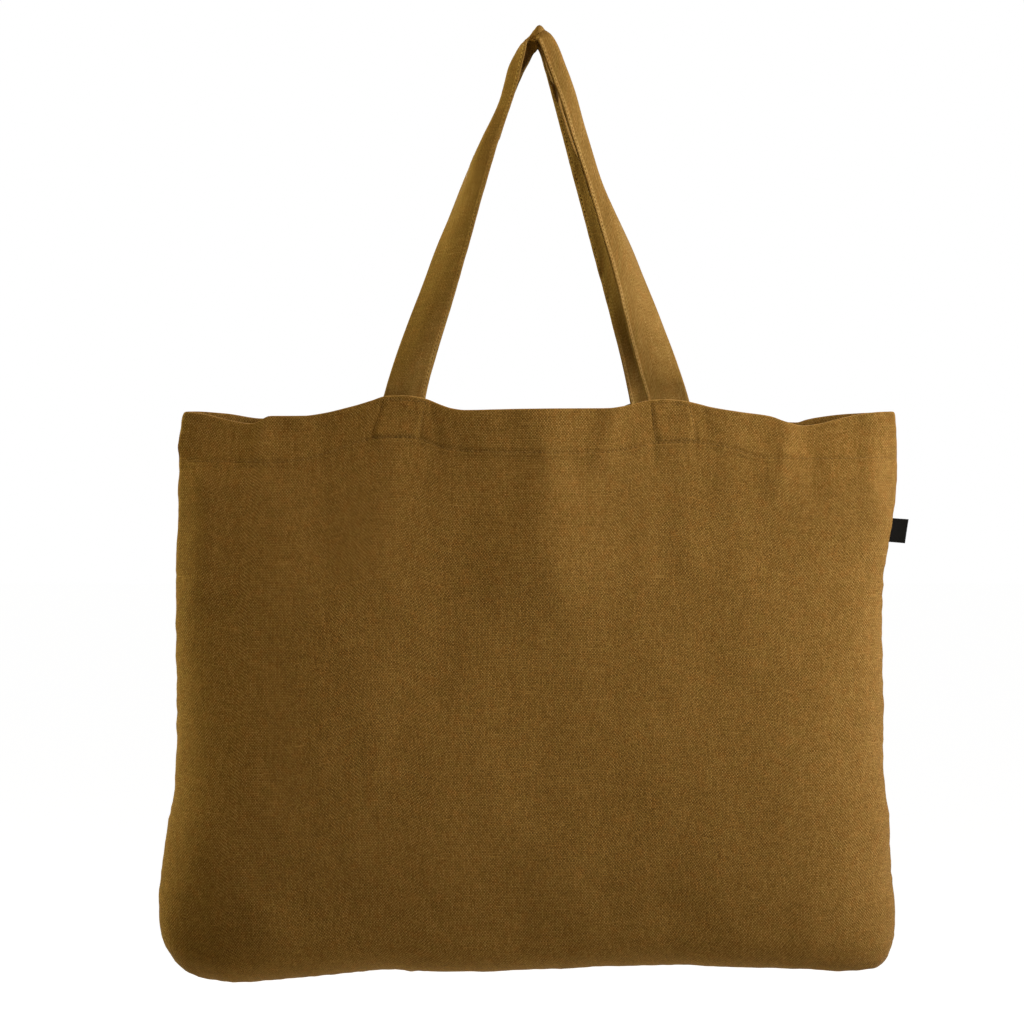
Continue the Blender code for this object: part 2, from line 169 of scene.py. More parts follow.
# The bag's outline: (down, across) of the side edges, (across, down) of the hems and the bottom
LEFT_EDGE = (
    (411, 185.0), (413, 183.0), (416, 181.7), (420, 180.7), (436, 178.5), (447, 177.0), (455, 177.6),
    (470, 178.2), (490, 177.0), (510, 177.6), (560, 175.4), (640, 175.2), (700, 176.8), (760, 176.6),
    (790, 174.8), (820, 169.3), (850, 165.1), (880, 160.9), (905, 159.5), (926, 159.8),
)
RIGHT_EDGE = (
    (411, 895.2), (415, 896.2), (440, 897.7), (470, 898.1), (490, 896.5), (520, 893.2), (550, 888.1),
    (580, 883.2), (640, 882.5), (700, 883.7), (760, 882.8), (790, 885.1), (820, 889.0), (850, 890.4),
    (880, 892.0), (910, 895.2), (926, 895.2),
)
FRONT_HEM = (
    (176, 412.0), (184, 411.8), (206, 414.2), (222, 418.2), (240, 422.2), (252, 423.4), (258, 422.2),
    (262, 419.6), (270, 415.8), (304, 415.4), (320, 413.4), (352, 406.0), (372, 400.0), (384, 396.3),
    (404, 395.5), (425, 398.8), (440, 404.6), (452, 408.5), (465, 410.2), (512, 409.4), (560, 408.7),
    (608, 408.2), (630, 405.0), (648, 400.5), (668, 399.5), (690, 402.0), (710, 407.0), (740, 412.0),
    (770, 416.2), (785, 421.6), (802, 425.5), (810, 425.0), (822, 423.0), (835, 419.5), (855, 415.0),
    (880, 411.8), (898, 411.3),
)
BACK_HEM = (
    (176, 412.0), (186, 411.0), (225, 413.2), (262, 418.3), (300, 417.5), (330, 415.0), (384, 400.5),
    (425, 401.5), (465, 412.5), (608, 411.5), (634, 403.5), (676, 403.0), (740, 415.0), (775, 421.0),
    (797, 422.4), (805, 420.0), (815, 417.8), (840, 414.5), (856, 413.4), (898, 411.3),
)
FRONT_STITCH_LINE = (
    (176, 460.5), (190, 461.0), (240, 461.8), (270, 462.5), (292, 461.0), (320, 454.5), (345, 446.5),
    (362, 441.0), (374, 438.8), (396, 437.4), (418, 438.5), (430, 443.0), (444, 448.6), (466, 451.2),
    (535, 452.6), (572, 453.4), (600, 452.6), (620, 450.4), (640, 446.6), (655, 443.4), (690, 442.4),
    (712, 444.0), (738, 450.5), (759, 457.4), (778, 458.6), (898, 458.2),
)
BACK_STITCH_LINE = (
    (176, 460.5), (200, 460.5), (262, 462.0), (330, 456.0), (386, 443.0), (425, 444.0), (465, 454.0),
    (608, 454.0), (636, 446.0), (676, 446.0), (740, 457.0), (797, 462.5), (880, 458.2), (898, 458.2),
)
BOTTOM_EDGE = (
    (156, 977.0), (200, 981.8), (240, 985.7), (272, 984.0), (304, 980.4), (352, 976.2), (392, 973.5),
    (432, 974.8), (472, 973.6), (512, 972.9), (560, 972.1), (624, 966.9), (664, 966.2), (704, 967.8),
    (752, 969.2), (792, 970.1), (848, 972.2), (898, 972.0),
)

# Folds: start and end pixel, how far they reach in pixels and how high they stand in metres
Fold = collections.namedtuple("Fold", "start end reach height")
FRONT_FOLDS = (
    Fold((204, 478), (201, 590), 18, 0.0028),
    Fold((263, 420), (257, 456), 10, 0.0017),
    Fold((240, 424), (232, 458), 13, -0.0010),
    Fold((806, 428), (815, 490), 15, -0.0020),
    Fold((742, 412), (738, 475), 28, 0.0020),
    Fold((868, 416), (874, 510), 13, 0.0022),
    Fold((788, 424), (778, 480), 13, 0.0022),
    Fold((530, 402), (535, 560), 90, 0.0095),
    Fold((528, 402), (531, 535), 58, 0.0052),
    Fold((690, 475), (690, 820), 50, -0.0022),
    Fold((554, 450), (560, 600), 26, 0.0022),
    Fold((508, 415), (512, 540), 20, -0.0010),
    Fold((432, 406), (438, 446), 5, -0.0005),
    Fold((443, 447), (465, 450), 2.5, -0.0004),
    Fold((653, 442), (655, 462), 3.5, -0.0005),
    Fold((614, 408), (602, 458), 13, 0.0028),
    Fold((703, 410), (714, 455), 6, -0.0008),
    Fold((396, 445), (382, 560), 20, 0.0016),
    Fold((676, 447), (694, 560), 20, 0.0016),
    Fold((330, 440), (316, 560), 22, -0.0014),
    Fold((752, 440), (764, 560), 22, -0.0014),
    Fold((176, 800), (262, 930), 26, 0.0012),
    Fold((892, 800), (806, 930), 26, 0.0014),
    Fold((300, 905), (560, 935), 22, -0.0012),
    Fold((596, 905), (820, 928), 20, -0.0010),
)
BACK_FOLDS = (
    Fold((300, 418), (282, 540), 20, 0.0020),
    Fold((470, 414), (476, 600), 28, 0.0024),
    Fold((560, 414), (548, 560), 22, -0.0014),
    Fold((373, 414), (372, 456), 5, -0.0012),
    Fold((428, 412), (436, 456), 5, -0.0012),
    Fold((630, 410), (633, 460), 5, -0.0013),
    Fold((684, 412), (690, 458), 6, -0.0012),
    Fold((790, 424), (800, 520), 14, -0.0018),
    Fold((176, 800), (270, 930), 28, 0.0022),
    Fold((892, 800), (800, 930), 28, 0.0022),
)

# Stitched boxes where the strap ends are sewn: low outer, high outer, high inner and low inner corner
TACK_BOXES = {
    FRONT: (
        ((372.5, 437.5), (385.0, 399.5), (426.5, 401.5), (418.0, 436.5)),
        ((696.5, 440.5), (689.5, 405.0), (651.5, 403.5), (655.5, 440.0)),
    ),
    BACK: (
        ((376.5, 438.5), (387.0, 404.5), (424.0, 405.0), (419.5, 438.0)),
        ((677.5, 440.0), (670.0, 406.5), (632.0, 407.0), (637.0, 440.0)),
    ),
}
TACK_POINTS = 24
TACK_DEPTH = 0.47 * MOUTH_DEPTH
TACK_GROOVE = 0.0006
BOX_PROUD = 0.0007
TACK_GATHERS = Lumps(0.0006, (0.006, 0.018), 8)

# How far the boxes' forms reach from their lines, in pixels
TACK_GROOVE_REACH = 1.7
TACK_GATHER_START = 2.0
TACK_GATHER_REACH = 7.0
BOX_SOFTNESS = 5.0

# The straps: how wide and thick they are, and how far in from the edge they are stitched
STRAP_WIDTH = 0.0372
STRAP_HALF_THICKNESS = 0.0012
STRAP_STITCH_INSET = 0.0025

# How a strap folds lengthwise and tilts on its way up
FRONT_FOLD_INSET = 0.0175
BACK_FOLD_INSET = 0.0160
OPEN_ROLL = 0.027
SHUT_ROLL = 0.013
BAND_TILT = math.radians(29)
TILT_REACH = 0.30
TILT_HALVINGS = 24
EDGE_ON = math.radians(89)
FOLD_TURN = math.radians(164)
FOLD_BULGE = 0.0014
HIDDEN_EDGE = 0.0006
CLOSING_WIDTH = 0.010
CLOSED_RISE = 0.80
CLOSING_RISE = 0.10
MOST_SLANT = 1.12
BAND_POINTS = 187

# How deep in the bag a strap runs, and how its ends are laid against the hem
TOP_DEPTH = 0.0025
LEGS_APART = 0.0012
FOOT_DROP = 0.012
STRAP_CLEARANCE = 0.0004 + 0.3 * CLOTH
SEWN_ZONE = 0.030
SEWN_REACH = 0.022
EDGE_MARGIN = 0.001

# How closely a strap's stations follow each other, and how many of them even out its depth
STATION_PIXELS = 3.6
LEAST_STATIONS = 4
EDGE_PACE = 0.6
EVENED_STATIONS = 9

# Places across a strap from its stitched edge, close together where it folds, and half its thickness there
ACROSS = np.array((
    0.0, 0.5, 1.3, 2.5, 3.8, 6.0, 9.0, 11.5, 13.0, 14.5,
    16.0, 17.5, 19.0, 20.5, 22.0, 24.5, 28.0, 31.5, 34.0,
)) / 1000
ACROSS = np.concatenate((ACROSS, STRAP_WIDTH - np.array((1.6, 0.6, 0.0)) / 1000))
STITCH_COLUMN = 3
HALF_THICKNESS = np.full(len(ACROSS), STRAP_HALF_THICKNESS)
HALF_THICKNESS[:5] = np.array((0.35, 0.95, 1.30, 0.90, 1.25)) / 1000
HALF_THICKNESS[-2:] = np.array((0.95, 0.35)) / 1000

# Stations along each strap, from the left sewn end over the top to the right one: (across, down) of the
# stitched edge and then of the other edge, and how far the band is moved back there (metres)
FRONT_STRAP_STATIONS = (
    (417.5, 437.5, 371.5, 438.5, 0.0),
    (424.5, 399.0, 383.0, 397.0, 0.0),
    (437.2, 353.0, 399.5, 346.0, 0.0),
    (453.0, 300.0, 421.3, 289.0, 0.0),
    (470.0, 240.0, 443.8, 231.0, 0.0),
    (487.0, 180.0, 467.8, 173.4, 0.0),
    (499.0, 140.0, 484.1, 134.9, 0.0),
    (511.3, 104.0, 500.0, 100.0, 0.0),
    (516.5, 87.0, 504.6, 83.5, 0.0),
    (520.5, 71.5, 508.7, 68.0, 0.0),
    (523.5, 58.5, 514.8, 55.6, 0.0),
    (525.9, 46.5, 520.6, 46.2, 0.0),
    (526.6, 41.6, 525.2, 41.4, 0.004),
    (529.6, 41.0, 530.2, 37.0, 0.0080),
    (535.0, 43.0, 538.2, 29.0, 0.0075),
    (537.2, 39.5, 544.8, 31.8, 0.002),
    (539.2, 43.0, 550.0, 35.4, 0.0),
    (542.3, 51.5, 557.0, 46.3, 0.0),
    (549.0, 70.0, 564.6, 65.6, 0.0),
    (560.3, 100.0, 575.2, 95.4, 0.0),
    (573.2, 141.0, 586.9, 136.8, 0.0),
    (586.0, 181.0, 599.9, 176.8, 0.0),
    (598.2, 221.0, 616.0, 215.6, 0.0),
    (610.2, 261.0, 633.4, 254.2, 0.0),
    (620.0, 300.0, 648.8, 291.6, 0.0),
    (630.0, 340.0, 665.0, 330.5, 0.0),
    (638.5, 371.0, 677.6, 364.5, 0.0),
    (647.0, 400.0, 689.5, 401.5, 0.0),
    (655.5, 440.5, 697.0, 441.5, 0.0),
)
BACK_STRAP_STATIONS = (
    (420.5, 439.0, 375.5, 440.0, 0.0),
    (425.0, 402.0, 386.0, 401.5, 0.0),
    (436.5, 353.0, 402.0, 347.0, 0.0),
    (451.5, 300.0, 423.5, 291.5, 0.0),
    (468.0, 240.0, 446.0, 233.0, 0.0),
    (485.0, 180.0, 469.6, 175.0, 0.0),
    (497.5, 140.0, 486.2, 136.0, 0.0),
    (510.0, 104.0, 501.8, 101.0, 0.0),
    (517.0, 88.0, 506.2, 84.5, 0.0),
    (523.4, 73.2, 510.4, 69.5, 0.0),
    (529.6, 62.0, 516.4, 57.5, -0.001),
    (534.0, 53.5, 522.6, 47.5, -0.003),
    (536.4, 51.2, 528.6, 39.6, -0.0050),
    (537.2, 49.8, 534.2, 32.2, -0.0065),
    (537.6, 49.4, 539.4, 26.2, -0.0070),
    (538.0, 49.6, 545.0, 32.4, -0.0055),
    (540.2, 54.5, 551.0, 43.5, -0.002),
    (543.6, 66.0, 556.6, 60.0, 0.003),
    (548.0, 80.5, 561.2, 76.0, 0.0045),
    (553.3, 100.0, 567.2, 95.6, 0.005),
    (569.0, 160.0, 584.0, 155.6, 0.005),
    (590.0, 240.0, 611.5, 233.6, 0.004),
    (611.0, 320.0, 642.5, 311.5, 0.002),
    (620.2, 356.0, 655.6, 350.0, 0.0),
    (630.0, 402.5, 671.0, 403.5, 0.0),
    (636.5, 440.0, 679.0, 441.0, 0.0),
)

# Thread and stitches
THREAD_RADIUS = 0.00034
THREAD_SIDES = 6
THREAD_MAP_LENGTH = 0.003
THREAD_MAP_STEP = 0.004
STITCH_SHARES = np.array((0.0, 0.18, 0.5, 0.82, 1.0))
STITCH_RISE = np.array((-0.5, 0.45, 0.75, 0.45, -0.5)) * THREAD_RADIUS
STITCH_THICKNESS = np.array((0.55, 0.95, 1.0, 0.95, 0.55)) * THREAD_RADIUS
STITCH_WANDER = 0.00012
WANDER_TURN = 2.4
STITCHED_ROWS = 40
STITCHED_BELOW = 0.004
SLOPE_STEP = 0.002
HEM_INSIDE = HEM_LAYERS + 0.1 * CLOTH
HEM_STITCH = 0.0034
HEM_STITCH_GAP = 0.0010
STRAP_STITCH = 0.0030
STRAP_STITCH_GAP = 0.0009
OVERLOCK_PITCH = 0.0032
OVERLOCK_WIDTH = 0.0055
OVERLOCK_RISE = 0.95 * CLOTH
OVERLOCK_SLANT = 0.7
OVERLOCK_RUN = 0.9

# The label in the right side seam: (across, down) of its corners, top and bottom, at the seam and outside
LABEL_CORNERS = ((891.5, 518.0), (908.0, 519.2), (887.5, 541.8), (904.3, 543.2))
LABEL_BEND = 0.0012
LABEL_WAVE = 0.0006
LABEL_WAVE_TURN = 1.3 * math.pi
LABEL_FOLD = 0.022
LABEL_FOLD_POINTS = 7
LABEL_COLUMNS = 15
LABEL_ROWS = 19
RIBBON = 0.00032
RIBBON_GAP = 0.00050

# The finishes
WARP_PITCH = 0.00124
WEFT_PITCH = 0.00152
YARN_RELIEF = 0.00030
TWIST_RELIEF = 0.00010
RIB_PITCH = 0.00045
CROSS_PITCH = 0.00030
RIB_RELIEF = 0.00008
YARN_APART = 7.31
YARN_RUN = 46.0
YARN_ROUGHNESS = 0.65
PATCH_EDGE = 3.6
PATCH_SHARE = 0.72
# Where the hem's fold crest lies, and how far the lighter line reaches there and along the strap's stitched
# edge: a painted highlight that also stands for wear
HEM_CREST = 0.0016
HEM_HIGHLIGHT_WEAR = 0.0016
STRAP_HIGHLIGHT_WEAR = 0.0018
LINEN_DARK = (0.080, 0.0345, 0.0028)
LINEN_MIDDLE = (0.187, 0.0915, 0.0135)
LINEN_LIGHT = (0.345, 0.1900, 0.0430)
RED_PATCH = (1.16, 0.93, 0.80)
GREEN_PATCH = (0.92, 1.05, 0.92)
SHEEN_TINT = (0.90, 0.87, 0.74)
LINEN_TINT = (1.0, 0.98, 0.97)
STRAP_TINT = (0.98, 1.02, 1.15)
THREAD_DARK = (0.130, 0.062, 0.0090)
THREAD_LIGHT = (0.290, 0.155, 0.0320)
LABEL_BLACK = (0.0024, 0.0020, 0.0013)
LABEL_GREY = (0.0080, 0.0066, 0.0042)
CLOTH_SPECULAR = 0.08
RIBBON_SPECULAR = 0.07

# The studio
FLOOR_COLOUR = (0.50, 0.46, 0.34)
FLOOR_GLOW = 0.985
WORLD_LIGHT = 0.02
FLOOR_Z = -1.25
FLOOR_HALF = 40.0
BAG_MIDDLE = (0.0, 0.0, -0.55)


def ease(share):
    """Smooth step from 0 to 1."""
    share = np.clip(share, 0.0, 1.0)
    return share * share * (3.0 - 2.0 * share)


def between(low, high, share):
    return low + (high - low) * share


def hill(gap, reach):
    """Bell of height 1 that fades over the reach."""
    return np.exp(-((gap / reach) ** 2))


def curve(knots, places):
    """Values at the places of a smooth curve through (place, value, ...) knots, with no overshoot."""
    knots = np.array(knots, float)
    at = knots[:, 0]
    value = knots[:, 1:]
    step = np.diff(at)[:, None]
    slope = np.diff(value, axis=0) / step
    product = slope[:-1] * slope[1:]
    total = np.where(product > 0, slope[:-1] + slope[1:], 1.0)
    middle = np.where(product > 0, 2.0 * product / total, 0.0)
    slopes = np.vstack((slope[:1], middle, slope[-1:]))
    places = np.asarray(places, float)
    k = np.clip(np.searchsorted(at, places) - 1, 0, len(at) - 2)
    share = np.clip((places - at[k]) / (at[k + 1] - at[k]), 0.0, 1.0)[..., None]
    rest = 1.0 - share
    low = value[k] * (1.0 + 2.0 * share) * rest ** 2 + slopes[k] * step[k] * share * rest ** 2
    high = value[k + 1] * (3.0 - 2.0 * share) * share ** 2 - slopes[k + 1] * step[k] * share ** 2 * rest
    found = low + high
    return found[..., 0] if found.shape[-1] == 1 else found


def ripple(points, size, seed):
    """Smooth noise of about -0.5 to 0.5 at each point, in lumps of this size (one or three numbers)."""
    places = np.asarray(points, float) / np.asarray(size, float) + seed * NOISE_SHIFT
    flat = places.reshape(-1, 3)
    values = [noise.noise(Vector(place)) for place in flat]
    return np.reshape(values, places.shape[:-1])


def unit(vectors):
    length = np.linalg.norm(vectors, axis=-1, keepdims=True)
    return vectors / np.maximum(length, TINY)


def lengths_along(points, axis):
    """Distance covered from the first point to each point along this axis of an array of points."""
    steps = np.linalg.norm(np.diff(points, axis=axis), axis=-1)
    start = np.zeros_like(np.take(steps, [0], axis=axis))
    return np.concatenate((start, np.cumsum(steps, axis=axis)), axis=axis)


def pixel_size(depth):
    """Real size of a pixel of the photograph for what lies at this depth."""
    return PIXEL * (CAMERA_DISTANCE + depth) / CAMERA_DISTANCE


def photo_place(across, down, depth):
    """x and z of a pixel of the photograph, for a point at this depth."""
    pixel = pixel_size(depth)
    x = CAMERA_X + (across - PHOTO_SIDE / 2) * pixel
    z = CAMERA_Z - (down - PHOTO_SIDE / 2) * pixel
    return x, z


def photo_pixel(points):
    """Pixel of the photograph, across and down, that shows each point."""
    pixel = pixel_size(points[..., 1])
    across = PHOTO_SIDE / 2 + (points[..., 0] - CAMERA_X) / pixel
    down = PHOTO_SIDE / 2 - (points[..., 2] - CAMERA_Z) / pixel
    return across, down


def gap_to_line(across, down, start, end):
    """Distance in pixels from each place to the line from start to end."""
    run = end[0] - start[0]
    rise = end[1] - start[1]
    share = ((across - start[0]) * run + (down - start[1]) * rise) / (run * run + rise * rise)
    share = np.clip(share, 0.0, 1.0)
    return np.hypot(across - start[0] - share * run, down - start[1] - share * rise)


def points_at(path, length, places):
    """Points of a path, or directions that go with it, at these lengths along it."""
    return np.stack([np.interp(places, length, path[:, k]) for k in range(3)], axis=-1)


# Meshes
def make_piece(name, points, faces, cloth_map=None):
    """A smooth-shaded mesh object. cloth_map gives each point its place on the flat cloth, in metres."""
    mesh = bpy.data.meshes.new(name)
    mesh.from_pydata(np.reshape(points, (-1, 3)).tolist(), [], faces)
    mesh.update()
    if cloth_map is not None:
        corners = np.empty(len(mesh.loops), np.int32)
        mesh.loops.foreach_get("vertex_index", corners)
        layer = mesh.uv_layers.new(name="cloth")
        layer.data.foreach_set("uv", np.reshape(cloth_map, (-1, 2))[corners].astype(np.float32).ravel())
    mesh.polygons.foreach_set("use_smooth", np.ones(len(mesh.polygons), bool))
    piece = bpy.data.objects.new(name, mesh)
    bpy.context.scene.collection.objects.link(piece)
    return piece


def grid_faces(rows, columns, turned, ring=False):
    """Four-sided faces of a grid of points, turned over where asked. A ring closes on its first column."""
    number = np.arange(rows * columns).reshape(rows, columns)
    if ring:
        number = np.hstack((number, number[:, :1]))
    corners = (number[:-1, :-1], number[1:, :-1], number[1:, 1:], number[:-1, 1:])
    faces = np.stack(corners[::-1] if turned else corners, axis=-1)
    return faces.reshape(-1, 4).tolist()


def thicken(piece, thickness, offset):
    layer = piece.modifiers.new("thickness", "SOLIDIFY")
    layer.thickness = thickness
    layer.offset = offset
    return piece


def outward(points, face):
    """Direction out of the cloth at each point of a panel's grid of rows and columns."""
    down = np.gradient(points, axis=0)
    across = np.gradient(points, axis=1)
    return unit(np.cross(across, down) * face)


# The panels
def column_shares():
    """Places of the columns across a panel, closer together by the stitched boxes and the side seams."""
    left = photo_place(LEFT_EDGE[0][1], LEFT_EDGE[0][0], 0.0)[0]
    right = photo_place(RIGHT_EDGE[0][1], RIGHT_EDGE[0][0], 0.0)[0]
    box_edges = [
        photo_place(across, down, face * MOUTH_DEPTH / 2)[0]
        for face, boxes in TACK_BOXES.items()
        for box in boxes
        for across, down in box
    ]
    places = [0.0]
    while places[-1] < right - left:
        x = left + places[-1]
        to_box = min(abs(x - edge) for edge in box_edges)
        to_side = min(x - left, right - x)
        by_box = between(BOX_STEP, COARSE_STEP, float(ease(to_box / BOX_REACH)))
        by_side = between(SIDE_STEP, COARSE_STEP, float(ease(to_side / SEAM_REACH)))
        places.append(places[-1] + min(by_box, by_side))
    return np.array(places) / places[-1]


COLUMN_SHARES = column_shares()
HEM_DROPS = np.arange(0.0, HEM_ROWS_END, HEM_ROW_STEP)
WALL_DROPS = np.concatenate((HEM_DROPS, np.linspace(HEM_DROPS[-1] + WALL_START, ROUND_DROP, WALL_ROWS)))
ROUND_ANGLES = np.linspace(0.0, math.pi / 2, ROUND_ROWS + 1)[1:]
BASE_SHARES = np.linspace(1.0, 0.0, BASE_ROWS + 1)[1:]


def hang_shift(drop, edge_down, stitch_down, bottom_down, y):
    """How far a row at this drop is moved up by the wavy hem, its stitch line and the sagging bottom."""
    edge = photo_place(0.0, edge_down, y)[1] - HEM_Z - HEM_LAYERS / 2
    stitch = photo_place(0.0, stitch_down, y)[1] - HEM_Z + STITCH_DROP
    wave = between(edge, stitch, min(drop / STITCH_DROP, 1.0))
    wave = wave * (1.0 - ease((drop - STITCH_DROP) / (WAVE_REACH - STITCH_DROP)))
    dip = photo_place(0.0, bottom_down, BASE_DEPTH_IN_VIEW)[1] - BASE_Z
    return wave + dip * ease((drop - DIP_START) / (ROUND_DROP - DIP_START))


def side_edges(drop):
    """x of the left and right side seams at this drop below the hem, with the small puckers of sewing."""
    found = []
    for edge, end in ((LEFT_EDGE, 0), (RIGHT_EDGE, -1)):
        downs = (FRONT_HEM[end][1], FRONT_STITCH_LINE[end][1], BOTTOM_EDGE[end][1])
        z = HEM_Z - drop + hang_shift(drop, *downs, 0.0)
        down = HANG_PIXEL[1] - z / PIXEL
        x = photo_place(curve(edge, down), down, 0.0)[0]
        found.append(x + PUCKER * ripple((end, 0.0, z), (1.0, 1.0, PUCKER_LENGTH), PUCKER_SEED))
    return found


def half_section(drop):
    """Half depth of the bag's level section at this drop, its two shaping powers and the hem's own room.

    The mouth is a lens that comes to a point at the side seams. Lower down the section rounds out, and
    towards the bottom edge the wall leans in again.
    """
    share = min(drop / ROUND_DROP, 1.0)
    depth = between(MOUTH_DEPTH, BASE_DEPTH, math.sin(share * math.pi / 2) ** BELLY_CURVE)
    lean = BOTTOM_TUCK * max((drop - TUCK_START) / (ROUND_DROP - TUCK_START), 0.0) ** TUCK_CURVE
    pointed = 1.0 - float(ease(drop / POINT_REACH))
    squareness = between(between(HEM_SQUARENESS, BASE_SQUARENESS, share), MOUTH_SQUARENESS, pointed)
    return depth / 2 - lean, squareness, between(0.5, MOUTH_POINT, pointed), HEM_ROOM * pointed


def corner_inset(drop, start, size):
    """How far the row at this drop is drawn in by a corner of this size that starts to round at start."""
    share = min(max((drop - start) / (ROUND_DROP + BASE_ROUND - start), 0.0), 1.0)
    return size * (1.0 - math.sqrt(1.0 - share * share))


def level_row(left, right, half_depth, squareness, power, room):
    """x and depth of one level row of a panel, from the left seam to the right one."""
    share = np.sin(np.linspace(-math.pi / 2, math.pi / 2, SECTION_POINTS))
    x = between(left, right, (share + 1.0) / 2)
    depth = SEAM_LIP + half_depth * (1.0 - np.abs(share) ** squareness) ** power
    depth = depth + room * np.sqrt(1.0 - np.abs(share) ** ROOM_SQUARENESS)
    length = lengths_along(np.stack((x, depth), axis=-1), 0)
    places = COLUMN_SHARES * length[-1]
    return np.interp(places, length, x), np.interp(places, length, depth)


def hung_row(face, x, depth, drop, level):
    """Points of a row that hangs between the wavy hem and the sagging bottom."""
    y = face * depth
    across = PHOTO_SIDE / 2 + (x - CAMERA_X) / pixel_size(y)
    base_across = PHOTO_SIDE / 2 + (x - CAMERA_X) / PIXEL
    edge_down = curve(FRONT_HEM if face == FRONT else BACK_HEM, across)
    stitch_down = curve(FRONT_STITCH_LINE if face == FRONT else BACK_STITCH_LINE, across)
    shift = hang_shift(drop, edge_down, stitch_down, curve(BOTTOM_EDGE, base_across), y)
    return np.stack((x, y, level + shift), axis=-1)


def panel_rows(face):
    """Outer side of a panel before it is dressed: rows from the hem's top edge to the bottom seam."""
    levels = [(drop, 0.0) for drop in WALL_DROPS]
    for angle in ROUND_ANGLES:
        levels.append((ROUND_DROP + BASE_ROUND * math.sin(angle), BASE_ROUND * (1.0 - math.cos(angle))))
    rows = []
    for drop, inset in levels:
        wall_drop = min(drop, ROUND_DROP)
        left, right = side_edges(wall_drop)
        left = left + corner_inset(drop, LEFT_CORNER_DROP, LEFT_CORNER_ROUND)
        right = right - corner_inset(drop, RIGHT_CORNER_DROP, RIGHT_CORNER_ROUND)
        half_depth, *shape = half_section(drop)
        x, depth = level_row(left, right, half_depth - inset, *shape)
        rows.append(hung_row(face, x, depth, wall_drop, HEM_Z - drop))
    for share in BASE_SHARES:
        x, depth = level_row(left, right, (half_depth - BASE_ROUND) * share, *shape)
        rows.append(hung_row(face, x, depth, ROUND_DROP, BASE_Z))
    return np.array(rows)


def box_sides(box):
    """The four lines of a stitched box, as pairs of corners."""
    return [(box[k], box[(k + 1) % 4]) for k in range(4)]


def in_box(across, down, box, soft):
    """1 inside a stitched box and 0 outside, with an edge this soft, in pixels."""
    low_outer, high_outer, high_inner, low_inner = box
    level = np.clip((down - high_outer[1]) / (low_outer[1] - high_outer[1]), -0.5, 1.5)
    one = between(high_outer[0], low_outer[0], level)
    other = between(high_inner[0], low_inner[0], level)
    sides = np.minimum(across - np.minimum(one, other), np.maximum(one, other) - across)
    ends = low_outer[1] - down
    return ease(0.5 + sides / soft) * ease(0.5 + ends / soft)


def lumpy(cloth, *kinds):
    """Height of these kinds of lumps at each place on the cloth."""
    return sum(kind.height * ripple(cloth, (*kind.size, 1.0), kind.seed) for kind in kinds)


def dressed(rows, face):
    """A panel's rows with its hem, stitched boxes, puckers, folds and the cloth's own unevenness."""
    out = outward(rows, face)
    across, down = photo_pixel(rows)
    along = lengths_along(rows, 1)
    fall = lengths_along(rows, 0)
    to_side = np.minimum(along, along[:, -1:] - along)
    to_bottom = fall[-1:] - fall
    drops = np.interp(np.arange(len(rows)), np.arange(len(WALL_DROPS)), WALL_DROPS)
    to_stitch = drops[:, None] - STITCH_DROP
    cloth = np.stack((along - along[:, -1:] / 2, fall, np.full_like(fall, face * PANEL_NOISE)), axis=-1)

    height = lumpy(cloth, BROAD_SWELL) * between(SWELL_AT_HEM, 1.0, ease(fall / SWELL_REACH))
    height += lumpy(cloth, *SMALL_SWELLS)
    for fold in FRONT_FOLDS if face == FRONT else BACK_FOLDS:
        height += fold.height * hill(gap_to_line(across, down, fold.start, fold.end), fold.reach)
    height += HEM_PROUD * (1.0 - ease((to_stitch - HEM_STEP_START) / HEM_STEP_REACH))
    height -= HEM_GROOVE * hill(to_stitch, HEM_GROOVE_REACH)
    height += lumpy(cloth, *HEM_GATHERS) * hill(to_stitch, HEM_GATHER_REACH)
    height += lumpy(cloth, EDGE_WAVES) * hill(fall, EDGE_WAVE_REACH)
    for box in TACK_BOXES[face]:
        to_line = np.min([gap_to_line(across, down, *line) for line in box_sides(box)], axis=0)
        near_line = hill(np.maximum(to_line - TACK_GATHER_START, 0.0), TACK_GATHER_REACH)
        height += BOX_PROUD * in_box(across, down, box, BOX_SOFTNESS)
        height += lumpy(cloth, TACK_GATHERS) * near_line
        height -= TACK_GROOVE * hill(to_line, TACK_GROOVE_REACH)
    height *= ease(to_side / SEAM_REACH) * ease(to_bottom / SEAM_REACH)

    by_side = hill(to_side, SIDE_GATHER_REACH) * ease(to_side / GATHER_START)
    by_bottom = hill(to_bottom, BOTTOM_GATHER_REACH) * ease(to_bottom / GATHER_START)
    height += lumpy(cloth, *SIDE_GATHERS) * by_side + lumpy(cloth, BOTTOM_GATHERS) * by_bottom
    height -= SEAM_GROOVE * (hill(to_side, SEAM_GROOVE_REACH) + hill(to_bottom, SEAM_GROOVE_REACH))
    return rows + out * height[..., None]


def with_hem(rows, face):
    """The whole panel: tucked raw edge, inner side of the hem, fold along the top and the outer side."""
    out = outward(rows, face)
    up = unit(rows[0] - rows[2])
    radius = HEM_LAYERS / 2
    inner = rows[:INNER_HEM_ROWS] - out[:INNER_HEM_ROWS] * HEM_LAYERS
    fold = []
    for angle in np.linspace(math.pi, 0.0, HEM_FOLD_POINTS)[1:-1]:
        fold.append(rows[0] + out[0] * (radius * math.cos(angle) - radius) + up * radius * math.sin(angle))
    low = unit(inner[-1] - inner[-3])
    hem_out = out[INNER_HEM_ROWS - 1]
    tuck = []
    for angle in np.linspace(math.pi, 0.0, TUCK_POINTS)[:-1]:
        side = TUCK_RADIUS * (1.0 + math.cos(angle))
        tuck.append(inner[-1] + hem_out * side + low * TUCK_RADIUS * math.sin(angle))
    edge = inner[-1] + hem_out * 2 * TUCK_RADIUS - low * TUCK_LENGTH
    return np.concatenate(([edge], tuck, inner[::-1], fold, rows)), inner


